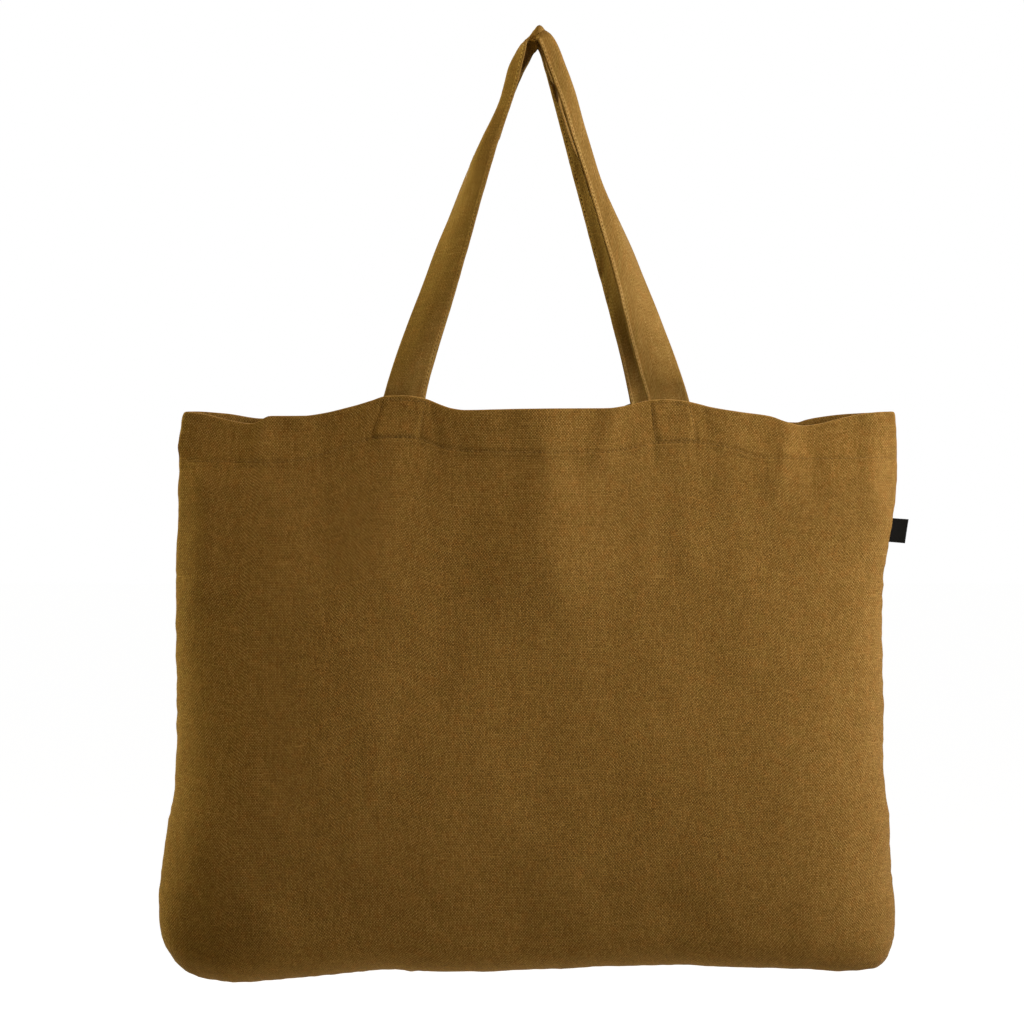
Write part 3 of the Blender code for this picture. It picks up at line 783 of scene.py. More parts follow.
def cloth_places(points, first_outer_row):
    """Place of each point on the flat cloth: across from the panel's middle and up from the top edge."""
    along = lengths_along(points, 1)
    fall = lengths_along(points, 0)
    return np.stack((along - along[:, -1:] / 2, fall[first_outer_row] - fall), axis=-1)


Panel = collections.namedtuple("Panel", "piece outer inner face")


def make_panel(name, face):
    rows = dressed(panel_rows(face), face)
    points, inner = with_hem(rows, face)
    places = cloth_places(points, len(points) - len(rows))
    faces = grid_faces(len(points), len(COLUMN_SHARES), face == BACK)
    piece = make_piece(name, points, faces, places)
    thicken(piece, PANEL_SHELL, -1.0)
    return Panel(piece, rows, inner, face)


def depth_on(rows, x, z):
    """y of the cloth, given as a grid of rows, at this x and z."""
    heights = np.array([np.interp(x, row[:, 0], row[:, 2]) for row in rows])
    depths = np.array([np.interp(x, row[:, 0], row[:, 1]) for row in rows])
    return np.interp(z, heights[::-1], depths[::-1])


# The straps
def band_section(width, inset, shut):
    """Outward and backward places across the band when it looks this wide from the front.

    A wide band lies open. A narrower one folds back lengthwise at the inset, and a still narrower one also
    turns edge on. shut folds it flat at any width, from 0 to 1.
    """
    lean = BAND_TILT * float(ease((1.0 - width / STRAP_WIDTH) / TILT_REACH)) * (1.0 - shut)
    turn = math.acos(np.clip((width - inset * math.cos(lean)) / (STRAP_WIDTH - inset), 0.0, 1.0))
    turn = max(turn - lean, 0.0)
    closing = max(shut, float(ease((inset + FOLD_BULGE - width) / CLOSING_WIDTH)))
    turn = between(turn, FOLD_TURN, closing)
    fine = np.linspace(0.0, STRAP_WIDTH, BAND_POINTS)
    step = fine[1] - fine[0]
    roll = between(OPEN_ROLL, SHUT_ROLL, float(ease(turn / FOLD_TURN)))
    heading = turn * ease((fine - inset + roll / 2) / roll)
    out = np.concatenate(([0.0], np.cumsum(np.cos(heading[1:]) * step)))
    back = np.concatenate(([0.0], np.cumsum(np.sin(heading[1:]) * step)))
    least = lean
    most = EDGE_ON
    for _ in range(TILT_HALVINGS):
        tilt = (least + most) / 2
        if np.max(out * math.cos(tilt) - back * math.sin(tilt)) > width:
            least = tilt
        else:
            most = tilt
    turned_out = out * math.cos(tilt) - back * math.sin(tilt)
    turned_back = out * math.sin(tilt) + back * math.cos(tilt)
    turned_out = turned_out * width / max(np.max(turned_out), TINY)
    ridge = np.argmax(turned_out)
    spread = turned_out[ridge] - turned_out[ridge:]
    room = turned_out[ridge] - HIDDEN_EDGE
    turned_out[ridge:] = turned_out[ridge] - spread * min(1.0, room / max(spread.max(), TINY))
    return np.interp(ACROSS, fine, turned_out), np.interp(ACROSS, fine, turned_back)


def strap_stations(knots):
    """Stations close together along a strap, from the few that are given."""
    knots = np.array(knots, float)
    middles = (knots[:, :2] + knots[:, 2:4]) / 2
    edges = np.linalg.norm(np.diff(knots[:, 2:4], axis=0), axis=1)
    steps = np.maximum(np.linalg.norm(np.diff(middles, axis=0), axis=1), EDGE_PACE * edges)
    travel = np.concatenate(([0.0], np.cumsum(steps)))
    places = [travel[0]]
    for start, end in zip(travel[:-1], travel[1:]):
        count = max(LEAST_STATIONS, math.ceil((end - start) / STATION_PIXELS))
        places.extend(np.linspace(start, end, count + 1)[1:])
    return curve(np.column_stack((travel, knots)), np.array(places))


def evened(values, reach):
    """Values with each one averaged over its neighbours."""
    weights = hill(np.arange(-2 * reach, 2 * reach + 1), reach)
    padded = np.pad(values, 2 * reach, mode="edge")
    return np.convolve(padded, weights / weights.sum(), mode="valid")


def strap_middle(stations, panel, inset):
    """Middle layer of a strap, stations by places across."""
    face = panel.face
    foot_x = photo_place(stations[0, 0], stations[0, 1], 0.0)[0]
    foot_depth = abs(depth_on(panel.inner, foot_x, HEM_Z - FOOT_DROP)) - STRAP_HALF_THICKNESS
    sections = []
    depths = []
    for stitched_across, stitched_down, other_across, other_down, _ in stations:
        seen = math.hypot(other_across - stitched_across, other_down - stitched_down) * PIXEL
        z = photo_place(stitched_across, stitched_down, 0.0)[1]
        rise = np.clip((z - HEM_Z) / -HEM_Z, 0.0, 1.0)
        shut = float(ease((rise - CLOSED_RISE) / CLOSING_RISE))
        out, back = band_section(min(seen, STRAP_WIDTH * MOST_SLANT), inset, shut)
        straight = between(foot_depth, TOP_DEPTH, rise)
        over = shut if face == FRONT else 0.0
        apart = (LEGS_APART + STRAP_HALF_THICKNESS + np.max(back)) * (1.0 - over)
        depths.append(max(straight + np.mean(back), apart))
        sections.append((out, back))
    depths = evened(np.array(depths), EVENED_STATIONS)
    lines = []
    for station, depth, (out, back) in zip(stations, depths, sections):
        start_y = face * depth + station[4]
        edge_y = start_y - face * back[np.argmax(out)]
        start_x, start_z = photo_place(station[0], station[1], start_y)
        edge_x, edge_z = photo_place(station[2], station[3], edge_y)
        run = np.array((edge_x - start_x, edge_z - start_z)) / max(np.max(out), TINY)
        x = start_x + run[0] * out
        z = start_z + run[1] * out
        lines.append(np.stack((x, start_y - face * back, z), axis=-1))
    return np.array(lines)


def sewn_into_hem(lines, panel):
    """The strap's lowest stations laid against the inner side of the hem."""
    top_row = panel.inner[0]
    gap = STRAP_HALF_THICKNESS + STRAP_CLEARANCE
    for line in lines:
        if line[:, 2].min() > HEM_Z + SEWN_ZONE:
            continue
        for point in line:
            edge = np.interp(point[0], top_row[:, 0], top_row[:, 2])
            hem_y = depth_on(panel.inner, point[0], min(point[2], edge - EDGE_MARGIN)) - panel.face * gap
            held = 1.0 - float(ease((point[2] - edge) / SEWN_REACH))
            point[1] = between(point[1], hem_y, held)
    return lines


Strap = collections.namedtuple("Strap", "piece front back lift")


def make_strap(name, knots, panel, inset):
    """A strap with its two sewn ends: a closed band around its middle layer."""
    face = panel.face
    lines = sewn_into_hem(strap_middle(strap_stations(knots), panel, inset), panel)
    along = lengths_along(lines, 0)
    lift = unit(np.cross(np.gradient(lines, axis=1), np.gradient(lines, axis=0)) * -face)
    lift = lift * math.copysign(1.0, face * lift[0, 0, 1])
    across = np.broadcast_to(ACROSS, along.shape)
    band = np.stack((across, along, np.full_like(along, face * STRAP_NOISE)), axis=-1)
    near_edge = hill(across - STRAP_STITCH_INSET, STRAP_GATHER_REACH)
    uneven = lumpy(band, STRAP_GATHERS) * near_edge + lumpy(band, STRAP_SWELL)
    lines = lines + lift * uneven[..., None]
    front = lines + lift * HALF_THICKNESS[:, None]
    back = lines - lift * HALF_THICKNESS[:, None]
    rings = np.concatenate((front, back[:, ::-1]), axis=1)
    both_across = np.concatenate((across, across[:, ::-1]), axis=1)
    places = np.stack((both_across, np.concatenate((along, along), axis=1)), axis=-1)
    count = rings.shape[1]
    faces = grid_faces(len(rings), count, face == FRONT, ring=True)
    first = list(range(count))
    last = [len(rings) * count - count + k for k in range(count)]
    faces.append(first if face == FRONT else first[::-1])
    faces.append(last[::-1] if face == FRONT else last)
    piece = make_piece(name, rings, faces, places)
    return Strap(piece, front[:, STITCH_COLUMN], back[:, STITCH_COLUMN], lift[:, STITCH_COLUMN])


# Stitches
def make_stitches(name, starts, ends, lifts):
    """Short lengths of thread from each start to each end, raised over a cloth that faces along lifts."""
    run = unit(ends - starts)
    side = unit(np.cross(run, unit(lifts)))
    lift = np.cross(side, run)
    path = starts[:, None] + (ends - starts)[:, None] * STITCH_SHARES[:, None]
    path = path + lift[:, None] * STITCH_RISE[:, None]
    turn = np.arange(THREAD_SIDES) * 2 * math.pi / THREAD_SIDES
    ring = side[:, None, :] * np.cos(turn)[:, None] + lift[:, None, :] * np.sin(turn)[:, None]
    points = path[:, :, None] + ring[:, None] * STITCH_THICKNESS[:, None, None]
    rings = len(STITCH_SHARES)
    one = grid_faces(rings, THREAD_SIDES, False, ring=True)
    one.append(list(range(THREAD_SIDES)))
    one.append([rings * THREAD_SIDES - 1 - k for k in range(THREAD_SIDES)])
    faces = [[k + n * rings * THREAD_SIDES for k in face] for n in range(len(starts)) for face in one]
    number = np.arange(len(starts))[:, None, None]
    along = STITCH_SHARES[:, None] * THREAD_MAP_LENGTH + number * THREAD_MAP_STEP
    round_it = np.broadcast_to(turn * THREAD_RADIUS, points.shape[:3])
    places = np.stack((round_it, np.broadcast_to(along, round_it.shape)), axis=-1)
    return make_piece(name, points, faces, places)


def sewn_along(path, lifts, stitch, gap):
    """Starts, ends and facing directions of the stitches of one seam along a path."""
    length = lengths_along(path, 0)
    count = max(1, int(length[-1] / (stitch + gap)))
    pitch = length[-1] / count
    at = np.arange(count) * pitch
    wander = STITCH_WANDER * np.sin(np.arange(count) * WANDER_TURN)
    starts = points_at(path, length, at + gap / 2 + wander)
    ends = points_at(path, length, at + pitch - gap / 2 + wander)
    return starts, ends, points_at(lifts, length, at + pitch / 2)


def joined(seams):
    """Several seams' starts, ends and directions as one."""
    return [np.concatenate(parts) for parts in zip(*seams)]


def on_panel(panel, x, z):
    """Points and outward directions on a panel's outer side at these places."""
    rows = panel.outer[:STITCHED_ROWS]

    def depth(right, down):
        return np.array([depth_on(rows, a + right, b - down) for a, b in zip(x, z)])

    y = depth(0.0, 0.0)
    slope_right = (depth(SLOPE_STEP, 0.0) - y) / SLOPE_STEP
    slope_down = (depth(0.0, SLOPE_STEP) - y) / SLOPE_STEP
    facing = np.stack((slope_right, -np.ones_like(y), -slope_down), axis=-1)
    return np.stack((x, y, z), axis=-1), unit(facing * -panel.face)


def row_at_drop(panel, drop):
    """Points and outward directions along a panel at this drop below its top edge."""
    k = int(np.searchsorted(WALL_DROPS, drop))
    share = (drop - WALL_DROPS[k - 1]) / (WALL_DROPS[k] - WALL_DROPS[k - 1])
    out = outward(panel.outer, panel.face)
    points = between(panel.outer[k - 1], panel.outer[k], share)
    return points, unit(between(out[k - 1], out[k], share))


def make_hem_stitching(name, panel):
    """The stitch row along a hem, outside and inside, clear of the side seams."""
    path, lifts = row_at_drop(panel, STITCH_DROP)
    path = path[CLEAR_OF_SEAMS]
    lifts = lifts[CLEAR_OF_SEAMS]
    outside = sewn_along(path, lifts, HEM_STITCH, HEM_STITCH_GAP)
    inside = sewn_along(path - lifts * HEM_INSIDE, -lifts, HEM_STITCH, HEM_STITCH_GAP)
    return make_stitches(name, *joined((outside, inside)))


def make_tack_stitching(name, panel, box):
    """The four stitched lines that hold the end of a strap."""
    seams = []
    shares = np.linspace(0.0, 1.0, TACK_POINTS)
    for start, end in box_sides(box):
        across = between(start[0], end[0], shares)
        down = between(start[1], end[1], shares)
        path, lifts = on_panel(panel, *photo_place(across, down, panel.face * TACK_DEPTH))
        seams.append(sewn_along(path, lifts, STRAP_STITCH, STRAP_STITCH_GAP))
    return make_stitches(name, *joined(seams))


def make_strap_stitching(name, strap):
    """Both sides of the row along a strap's inner edge, above the hem."""
    clear = strap.front[:, 2] > HEM_Z - STITCHED_BELOW
    seams = [
        sewn_along(strap.front[clear], strap.lift[clear], STRAP_STITCH, STRAP_STITCH_GAP),
        sewn_along(strap.back[clear], -strap.lift[clear], STRAP_STITCH, STRAP_STITCH_GAP),
    ]
    return make_stitches(name, *joined(seams))


# The sewn edges inside
def make_seam(name, line, inward, seed):
    """A sewn edge: both layers of cloth standing inwards from a seam line, with their raw edge free."""
    run = unit(np.gradient(line, axis=0))
    side = unit(np.cross(run, inward))
    shares = np.linspace(0.0, 1.0, SEAM_ROWS)
    bend = sum(height * ripple(line, size, seed + k) for k, (height, size) in enumerate(SEAM_WAVES))
    rows = []
    for share in shares:
        rows.append(line + inward * SEAM_ALLOWANCE * share + side * (bend * share ** 2)[:, None])
    points = np.array(rows)
    along = lengths_along(points, 1)
    places = np.stack((np.broadcast_to(shares[:, None] * SEAM_ALLOWANCE, along.shape), along), axis=-1)
    strip = make_piece(name, points, grid_faces(len(shares), len(line), False), places)
    thicken(strip, SEAM_SHELL, 0.0)
    return strip, points, side


def make_overlock(name, points, side):
    """Slanting threads over both faces of a sewn edge, and a row along their roots."""
    edge = points[-1]
    root = points[-1 - round(OVERLOCK_WIDTH / SEAM_ALLOWANCE * (len(points) - 1))]
    length = lengths_along(edge, 0)
    at = np.arange(0.0, length[-1] - OVERLOCK_PITCH, OVERLOCK_PITCH)
    seams = []
    for sign in (1.0, -1.0):
        facing = sign * points_at(side, length, at)
        rise = facing * OVERLOCK_RISE
        inner = points_at(root, length, at) + rise
        for path, slant in ((edge, OVERLOCK_SLANT), (root, OVERLOCK_RUN)):
            seams.append((inner, points_at(path, length, at + OVERLOCK_PITCH * slant) + rise, facing))
    return make_stitches(name, *joined(seams))


# The label
def make_label(name):
    """A short ribbon folded in half, with both ends in the side seam."""
    corners = [np.array(photo_place(*corner, 0.0)) for corner in LABEL_CORNERS]
    top_seam, top_edge, low_seam, low_edge = corners
    reach = np.linspace(0.0, 1.0, LABEL_COLUMNS)
    drop = np.linspace(0.0, 1.0, LABEL_ROWS)
    path = [(share, -RIBBON_GAP) for share in reach]
    for angle in np.linspace(0.0, math.pi, LABEL_FOLD_POINTS)[1:-1]:
        path.append((1.0 + LABEL_FOLD * math.sin(angle), -RIBBON_GAP * math.cos(angle)))
    path += [(share, RIBBON_GAP) for share in reach[::-1]]
    rows = []
    for share, side in path:
        top = between(top_seam, top_edge, share)
        low = between(low_seam, low_edge, share)
        places = between(top, low, drop[:, None])
        bow = -LABEL_BEND * share ** 2 + LABEL_WAVE * share * np.sin(drop * LABEL_WAVE_TURN)
        rows.append(np.stack((places[:, 0], np.full_like(drop, side) + bow, places[:, 1]), axis=-1))
    points = np.array(rows)
    places = np.stack((lengths_along(points, 0), lengths_along(points, 1)), axis=-1)
    piece = make_piece(name, points, grid_faces(len(path), len(drop), True), places)
    return thicken(piece, RIBBON, 0.0)


# Finishes
class Wire:
    """A value on its way through a finish. Sums and products of wires add Math nodes."""

    def __init__(self, finish, socket):
        self.finish = finish
        self.socket = socket

    def part(self, name):
        return Wire(self.finish, self.socket.node.outputs[name])

    def maths(self, operation, first, second=0.0, clamp=False):
        settings = {"operation": operation, "use_clamp": clamp}
        return self.finish.add("ShaderNodeMath", settings, {0: first, 1: second})

    def __add__(self, other):
        return self.maths("ADD", self, other)

    __radd__ = __add__

    def __sub__(self, other):
        return self.maths("SUBTRACT", self, other)

    def __rsub__(self, other):
        return self.maths("SUBTRACT", other, self)

    def __mul__(self, other):
        return self.maths("MULTIPLY", self, other)

    __rmul__ = __mul__

    def __mod__(self, other):
        return self.maths("FLOORED_MODULO", self, other)

    def floor(self):
        return self.maths("FLOOR", self)

    def fraction(self):
        return self.maths("FRACT", self)

    def size(self):
        return self.maths("ABSOLUTE", self)

    def wave(self):
        return self.maths("SINE", self)

    def clipped(self):
        return self.maths("ADD", self, 0.0, clamp=True)


class Finish:
    """The nodes of a material or of the world."""

    def __init__(self, owner):
        self.owner = owner
        self.owner.use_nodes = True
        self.nodes = owner.node_tree.nodes
        self.links = owner.node_tree.links
        self.nodes.clear()

    def add(self, kind, settings=None, sockets=None, output=0):
        """Adds a node with its settings, a ramp's stops among them, and its sockets' values or wires."""
        node = self.nodes.new(kind)
        for name, value in (settings or {}).items():
            if name == "stops":
                ramp = node.color_ramp.elements
                while len(ramp) < len(value):
                    ramp.new(0.5)
                for stop, (place, colour) in zip(ramp, value):
                    stop.position = place
                    stop.color = (*colour, 1.0)
            else:
                setattr(node, name, value)
        for key, value in (sockets or {}).items():
            if isinstance(value, Wire):
                self.links.new(value.socket, node.inputs[key])
            else:
                node.inputs[key].default_value = value
        return Wire(self, node.outputs[output])

    def cloth_place(self):
        """The place on the flat cloth, and its parts across and along."""
        place = self.add("ShaderNodeUVMap", {"uv_map": "cloth"})
        axes = self.add("ShaderNodeSeparateXYZ", None, {0: place})
        return place, axes.part("X"), axes.part("Y")

    def mixed(self, share, first, second, blend="MIX"):
        """Colour between two colours, each a wire or plain numbers."""
        settings = {"data_type": "RGBA", "blend_type": blend}
        first = first if isinstance(first, Wire) else (*first, 1.0)
        second = second if isinstance(second, Wire) else (*second, 1.0)
        return self.add("ShaderNodeMix", settings, {0: share, 6: first, 7: second}, output=2)

    def joined_vector(self, x, y, z=0.0):
        return self.add("ShaderNodeCombineXYZ", None, {0: x, 1: y, 2: z})

    def clouds(self, place, scale, detail=2.0, rough=0.5):
        settings = {"noise_dimensions": "3D"}
        sockets = {"Vector": place, "Scale": scale, "Detail": detail, "Roughness": rough}
        return self.add("ShaderNodeTexNoise", settings, sockets)

    def surface(self, sockets, height, strength, distance):
        """The cloth's shader with these sockets, and this height as its relief."""
        relief = {"Strength": strength, "Distance": distance, "Height": height}
        bump = self.add("ShaderNodeBump", None, relief)
        return self.shade(self.add("ShaderNodeBsdfPrincipled", None, sockets | {"Normal": bump}))

    def shade(self, shader, kind="ShaderNodeOutputMaterial"):
        end = self.nodes.new(kind)
        self.links.new(shader.socket, end.inputs["Surface"])
        return self.owner


def linen_finish(name, seed, tint, tone, weave, relief, highlight_wear):
    """Plain-woven linen: uneven yarns over and under each other, slubs, and a dye that took unevenly.

    weave is how clearly the yarns show and relief how much they stand out. The last argument is the axis,
    place and reach of the line on the flat cloth along which it is painted lighter: a painted highlight
    that also stands for wear.
    """
    finish = Finish(bpy.data.materials.new(name))
    _, across, along = finish.cloth_place()
    spot = finish.joined_vector(across, along, seed)
    drift = finish.clouds(spot, 17.0, 1.0) - 0.5
    wobble = finish.clouds(spot, 160.0, 1.0) - 0.5
    warp = across * (1.0 / WARP_PITCH) + drift * 1.2 + wobble * 0.30
    weft = along * (1.0 / WEFT_PITCH) + drift * 1.0 - wobble * 0.30
    warp_number = warp.floor()
    weft_number = weft.floor()
    over = (warp_number + weft_number) % 2.0
    warp_round = (warp.fraction() * math.pi).wave()
    weft_round = (weft.fraction() * math.pi).wave()

    warp_line = finish.joined_vector(warp_number * YARN_APART, along * YARN_RUN, seed + 1.0)
    weft_line = finish.joined_vector(across * YARN_RUN, weft_number * YARN_APART, seed + 2.0)
    warp_tone = finish.clouds(warp_line, 1.0, 2.0, YARN_ROUGHNESS)
    weft_tone = finish.clouds(weft_line, 1.0, 2.0, YARN_ROUGHNESS)
    yarn_tone = weft_tone + over * (warp_tone - weft_tone)
    crown_warp = warp_round * (0.5 + weft_round * 0.5)
    crown_weft = weft_round * (0.5 + warp_round * 0.5)
    crown = crown_weft + over * (crown_warp - crown_weft)
    slub = ((yarn_tone - 0.60) * 5.0).clipped()

    crossing = finish.joined_vector(warp_number, weft_number, seed)
    chance = finish.add("ShaderNodeTexWhiteNoise", {"noise_dimensions": "3D"}, {"Vector": crossing})
    fleck = finish.clouds(spot, 1050.0, 1.0)
    patch = finish.clouds(spot, 95.0, 3.0, 0.65)
    wide = finish.clouds(spot, 9.0, 2.0)
    # A line on the cloth is painted lighter: a painted highlight on the hem's fold crest or the strap's
    # stitched edge, which also stands for wear
    highlight_wear_axis, highlight_wear_place, highlight_wear_reach = highlight_wear
    highlight_wear_line = across if highlight_wear_axis == "across" else along
    highlight_wear_share = (1.0 - (highlight_wear_line - highlight_wear_place).size() * (1.0 / highlight_wear_reach)).clipped()
    # The crown term paints the linen darker in the gaps between the yarns and lighter on their tops:
    # painted shade between the yarns
    level = 0.5 + tone + (over - 0.5) * (0.31 * weave) + (crown - 0.53) * (0.36 * weave)
    level = level + (chance - 0.5) * (0.25 * weave) + (fleck - 0.5) * 0.78
    level = level + (yarn_tone - 0.5) * 0.56 + (wide - 0.5) * 0.12 + slub * 0.14 + highlight_wear_share * 0.55
    stops = ((0.12, LINEN_DARK), (0.50, LINEN_MIDDLE), (0.95, LINEN_LIGHT))
    colour = finish.add("ShaderNodeValToRGB", {"stops": stops}, {0: level})
    redder = ((patch - 0.52) * PATCH_EDGE).clipped() * 0.85
    greener = ((0.48 - patch) * PATCH_EDGE).clipped() * 0.80
    dyed = colour
    for share, patch_tint in ((redder, RED_PATCH), (greener, GREEN_PATCH)):
        tinted = finish.mixed(1.0, colour, patch_tint, "MULTIPLY")
        dyed = finish.mixed(share, dyed, finish.mixed(PATCH_SHARE, colour, tinted))
    dyed = finish.mixed(1.0, dyed, tint, "MULTIPLY")

    height = crown * (0.84 + chance * 0.26) + slub * 0.4 + (fleck - 0.5) * 0.45
    sockets = {
        "Base Color": dyed,
        "Roughness": 0.93 - crown * 0.08 - slub * 0.05,
        "Specular IOR Level": CLOTH_SPECULAR,
        "Sheen Weight": 0.10,
        "Sheen Roughness": 0.32,
        "Sheen Tint": (*SHEEN_TINT, 1.0),
    }
    return finish.surface(sockets, height, relief, YARN_RELIEF)


def thread_finish(name):
    """Twisted sewing thread."""
    finish = Finish(bpy.data.materials.new(name))
    place, across, along = finish.cloth_place()
    twist = (across * 1500.0 + along * 9000.0).wave() * 0.5 + 0.5
    fuzz = finish.clouds(place, 900.0, 2.0)
    colour = finish.mixed((twist * 0.55 + (fuzz - 0.3) * 0.6).clipped(), THREAD_DARK, THREAD_LIGHT)
    roughness = 0.82 - twist * 0.10
    sockets = {"Base Color": colour, "Roughness": roughness, "Specular IOR Level": CLOTH_SPECULAR}
    return finish.surface(sockets, twist, 0.5, TWIST_RELIEF)


def ribbon_finish(name):
    """Black satin ribbon, with fine ribs across it."""
    finish = Finish(bpy.data.materials.new(name))
    place, across, along = finish.cloth_place()
    rib = (along * (2 * math.pi / RIB_PITCH)).wave() * 0.5 + 0.5
    cross = (across * (2 * math.pi / CROSS_PITCH)).wave() * 0.5 + 0.5
    wear = finish.clouds(place, 300.0, 3.0)
    share = (rib * 0.35 + cross * 0.2 + (wear - 0.5) * 0.8).clipped()
    colour = finish.mixed(share, LABEL_BLACK, LABEL_GREY)
    roughness = 0.50 + wear * 0.2
    sockets = {"Base Color": colour, "Roughness": roughness, "Specular IOR Level": RIBBON_SPECULAR}
    return finish.surface(sockets, rib * 0.7 + cross * 0.3, 0.4, RIB_RELIEF)


def dress(piece, material, slot, body=None, *nodes):
    """Gives a piece its finish, the body that it rides on and the solids that it stands for."""
    piece.data.materials.append(material)
    if nodes:
        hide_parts(*nodes)
    if body:
        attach(piece, body)
    return piece


# Making the bag
# Each linen is painted lighter along one line, the hem's fold crest or the strap's stitched edge: a painted
# highlight that also stands for wear
linen = linen_finish(
    "mustard_linen", seed=0.0, tint=LINEN_TINT, tone=0.0, weave=1.0, relief=0.55,
    highlight_wear=("along", HEM_CREST, HEM_HIGHLIGHT_WEAR),
)
strap_linen = linen_finish(
    "strap_linen", seed=4.0, tint=STRAP_TINT, tone=0.015, weave=0.30, relief=0.34,
    highlight_wear=("across", STRAP_STITCH_INSET, STRAP_HIGHLIGHT_WEAR),
)
thread = thread_finish("sewing_thread")
ribbon = ribbon_finish("black_ribbon")

panels = {face: make_panel(side + "_cloth", face) for face, side in SIDE_NAMES.items()}
straps = {
    FRONT: make_strap("front_band", FRONT_STRAP_STATIONS, panels[FRONT], FRONT_FOLD_INSET),
    BACK: make_strap("back_band", BACK_STRAP_STATIONS, panels[BACK], BACK_FOLD_INSET),
}

for face, side in SIDE_NAMES.items():
    panel = panels[face]
    strap = straps[face]
    dress(panel.piece, linen, "linen", "bag", side + "_panel")
    hem_thread = make_hem_stitching(side + "_hem_thread", panel)
    dress(hem_thread, thread, "thread", "bag", side + "_hem_stitching")
    for end, box in zip(("left", "right"), TACK_BOXES[face]):
        tack = make_tack_stitching(f"{side}_{end}_tack_thread", panel, box)
        dress(tack, thread, "thread", "bag", f"{side}_{end}_tack_stitching")

    dress(strap.piece, strap_linen, "strap_linen")
    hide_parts(side + "_strap", side + "_left_strap_end", side + "_right_strap_end")
    strap_thread = dress(make_strap_stitching(side + "_band_thread", strap), thread, "thread")
    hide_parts(side + "_strap_stitching")
    for piece in (strap.piece, strap_thread):
        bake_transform(piece)


def add_sewn_edge(name, line, inward, root, seed):
    """A sewn edge and its overlocking, starting this far inside the line where the panels meet."""
    inward = np.broadcast_to(unit(np.array(inward, float)), line.shape)
    strip, points, side = make_seam(name + "_edge", line + inward * root, inward, seed)
    dress(strip, linen, "linen", "bag", name + "_seam")
    dress(make_overlock(name + "_overlock", points, side), thread, "thread", "bag")


corner_row = len(WALL_DROPS) + len(ROUND_ANGLES) // 2
seam_rows = slice(INNER_HEM_ROWS // 2, corner_row)
for end, inwards, seed in (("left", 1, LEFT_SEAM_SEED), ("right", -1, RIGHT_SEAM_SEED)):
    front, back = [panels[face].outer[:, ::inwards] for face in (FRONT, BACK)]
    line = (front[seam_rows, 0] + back[seam_rows, 0]) / 2
    add_sewn_edge(end + "_side", line, (inwards, 0.0, 0.0), SIDE_SEAM_ROOT, seed)
    line = np.concatenate((front[corner_row, :CORNER_COLUMNS][::-1], back[corner_row, 1:CORNER_COLUMNS]))
    add_sewn_edge(end + "_corner", line, (inwards, 0.0, CORNER_RISE), CORNER_SEAM_ROOT, CORNER_SEAM_SEED)
line = (panels[FRONT].outer[-1, CLEAR_OF_SEAMS] + panels[BACK].outer[-1, CLEAR_OF_SEAMS]) / 2
add_sewn_edge("bottom", line, (0.0, 0.0, 1.0), BOTTOM_SEAM_ROOT, BOTTOM_SEAM_SEED)

label = dress(make_label("side_label"), ribbon, "label_ribbon", "label", "label_tab")


# The studio
def add_lamp(name, place, aim, size, power, colour=(1.0, 1.0, 1.0), narrow=1.0):
    """A round lamp, or an oval one that is narrow the other way."""
    data = bpy.data.lights.new(name, "AREA")
    data.shape = "ELLIPSE"
    data.size = size
    data.size_y = size * narrow
    data.energy = power
    data.color = colour
    lamp = bpy.data.objects.new(name, data)
    lamp.location = place
    lamp.rotation_euler = (Vector(aim) - Vector(place)).to_track_quat("-Z", "Y").to_euler()
    bpy.context.scene.collection.objects.link(lamp)


def seen_directly(finish):
    """1 for what the camera sees directly, in a mirror or through glass."""
    path = finish.add("ShaderNodeLightPath")
    seen = path.part("Is Camera Ray")
    for name in ("Is Glossy Ray", "Is Transmission Ray"):
        seen = seen.maths("MAXIMUM", seen, path.part(name))
    return seen


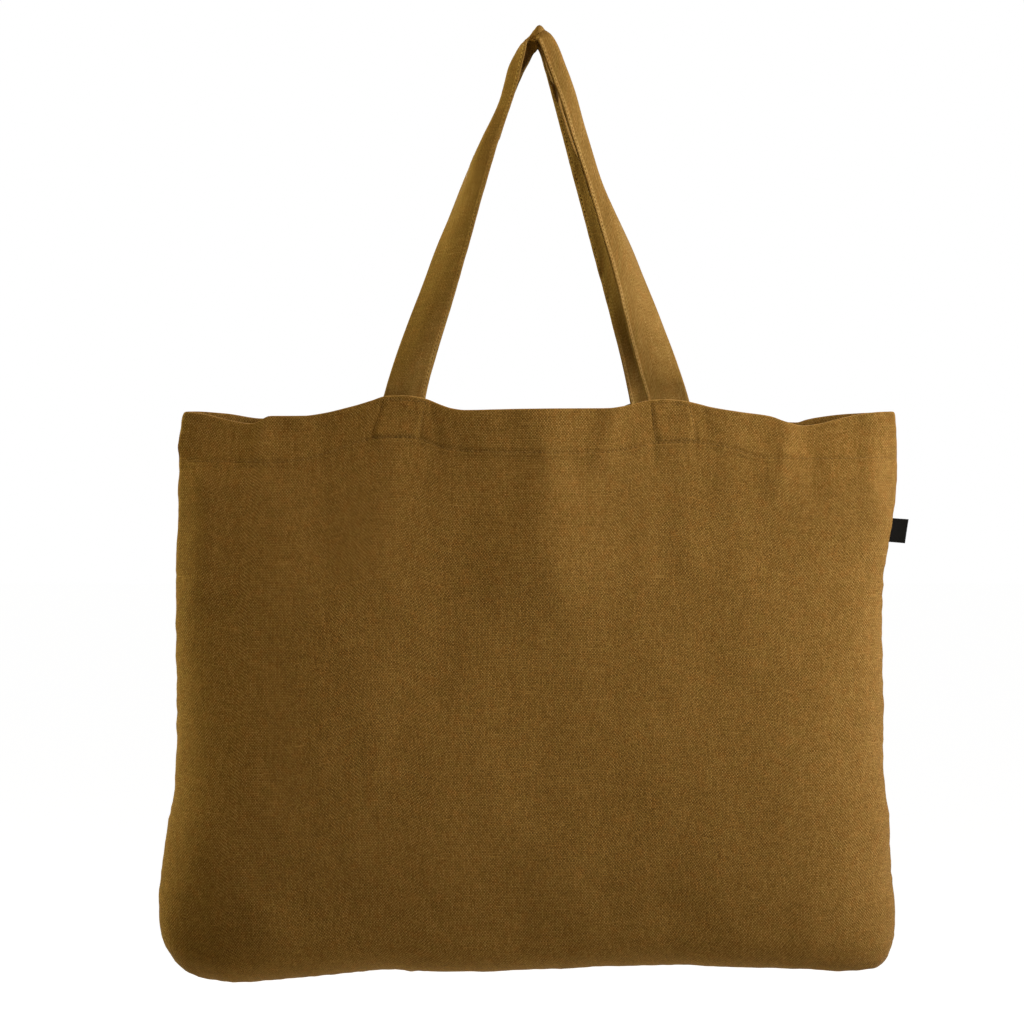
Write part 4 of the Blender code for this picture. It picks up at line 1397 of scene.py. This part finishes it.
def make_floor():
    """A wide floor that looks white to the camera and keeps the bag's shadow."""
    finish = Finish(bpy.data.materials.new("studio_floor"))
    matt = finish.add("ShaderNodeBsdfDiffuse", None, {"Color": (*FLOOR_COLOUR, 1.0)})
    glow = finish.add("ShaderNodeEmission", None, {"Strength": seen_directly(finish) * FLOOR_GLOW})
    both = finish.add("ShaderNodeAddShader", None, {0: matt, 1: glow})
    signs = ((-1, -1), (1, -1), (1, 1), (-1, 1))
    corners = [(x * FLOOR_HALF, y * FLOOR_HALF, FLOOR_Z) for x, y in signs]
    floor = make_piece("studio_floor", corners, [(0, 1, 2, 3)])
    floor.data.materials.append(finish.shade(both))


def light_world():
    """A world that looks white to the camera and lights the bag only a little."""
    finish = Finish(bpy.data.worlds.new("studio"))
    levels = {"Value": seen_directly(finish), "To Min": WORLD_LIGHT, "To Max": 1.0}
    strength = finish.add("ShaderNodeMapRange", None, levels)
    sockets = {"Color": (1.0, 1.0, 1.0, 1.0), "Strength": strength}
    background = finish.add("ShaderNodeBackground", None, sockets)
    bpy.context.scene.world = finish.shade(background, "ShaderNodeOutputWorld")


make_floor()
light_world()
add_lamp("key", (1.80, -0.92, 0.05), (0.0, 0.0, 1.30), 0.9, 84.0, (0.955, 1.0, 1.18))
add_lamp("left_side", (-1.9, 0.38, -0.10), (-0.30, 0.0, 0.9), 0.9, 62.0, (0.94, 1.0, 0.70))
add_lamp("left_front", (-0.9, -1.7, 0.50), (0.0, 0.0, 0.7), 0.7, 3.4, (1.0, 0.80, 0.40))
add_lamp("right_side", (2.0, 0.30, -0.10), (0.30, 0.0, 0.2), 0.9, 20.0, (0.95, 1.02, 1.50))
add_lamp("top", (-0.15, -0.50, 1.30), BAG_MIDDLE, 0.7, 11.0, (1.0, 0.82, 0.45))
add_lamp("back", (-0.4, 2.6, 0.5), BAG_MIDDLE, 1.6, 40.0)
add_lamp("sweep", (0.0, 0.09, -1.20), (0.0, 0.02, -0.86), 0.8, 0.66, (0.94, 1.0, 0.90), narrow=0.18)

camera_data = bpy.data.cameras.new("camera")
camera_data.sensor_width = SENSOR_WIDTH
camera_data.lens = SENSOR_WIDTH * CAMERA_DISTANCE / (PHOTO_SIDE * PIXEL)
camera = bpy.data.objects.new("camera", camera_data)
camera.location = (CAMERA_X, -CAMERA_DISTANCE, CAMERA_Z)
camera.rotation_euler = (math.pi / 2, 0.0, 0.0)
bpy.context.scene.collection.objects.link(camera)
bpy.context.scene.camera = camera
bpy.context.scene.view_settings.view_transform = "Standard"
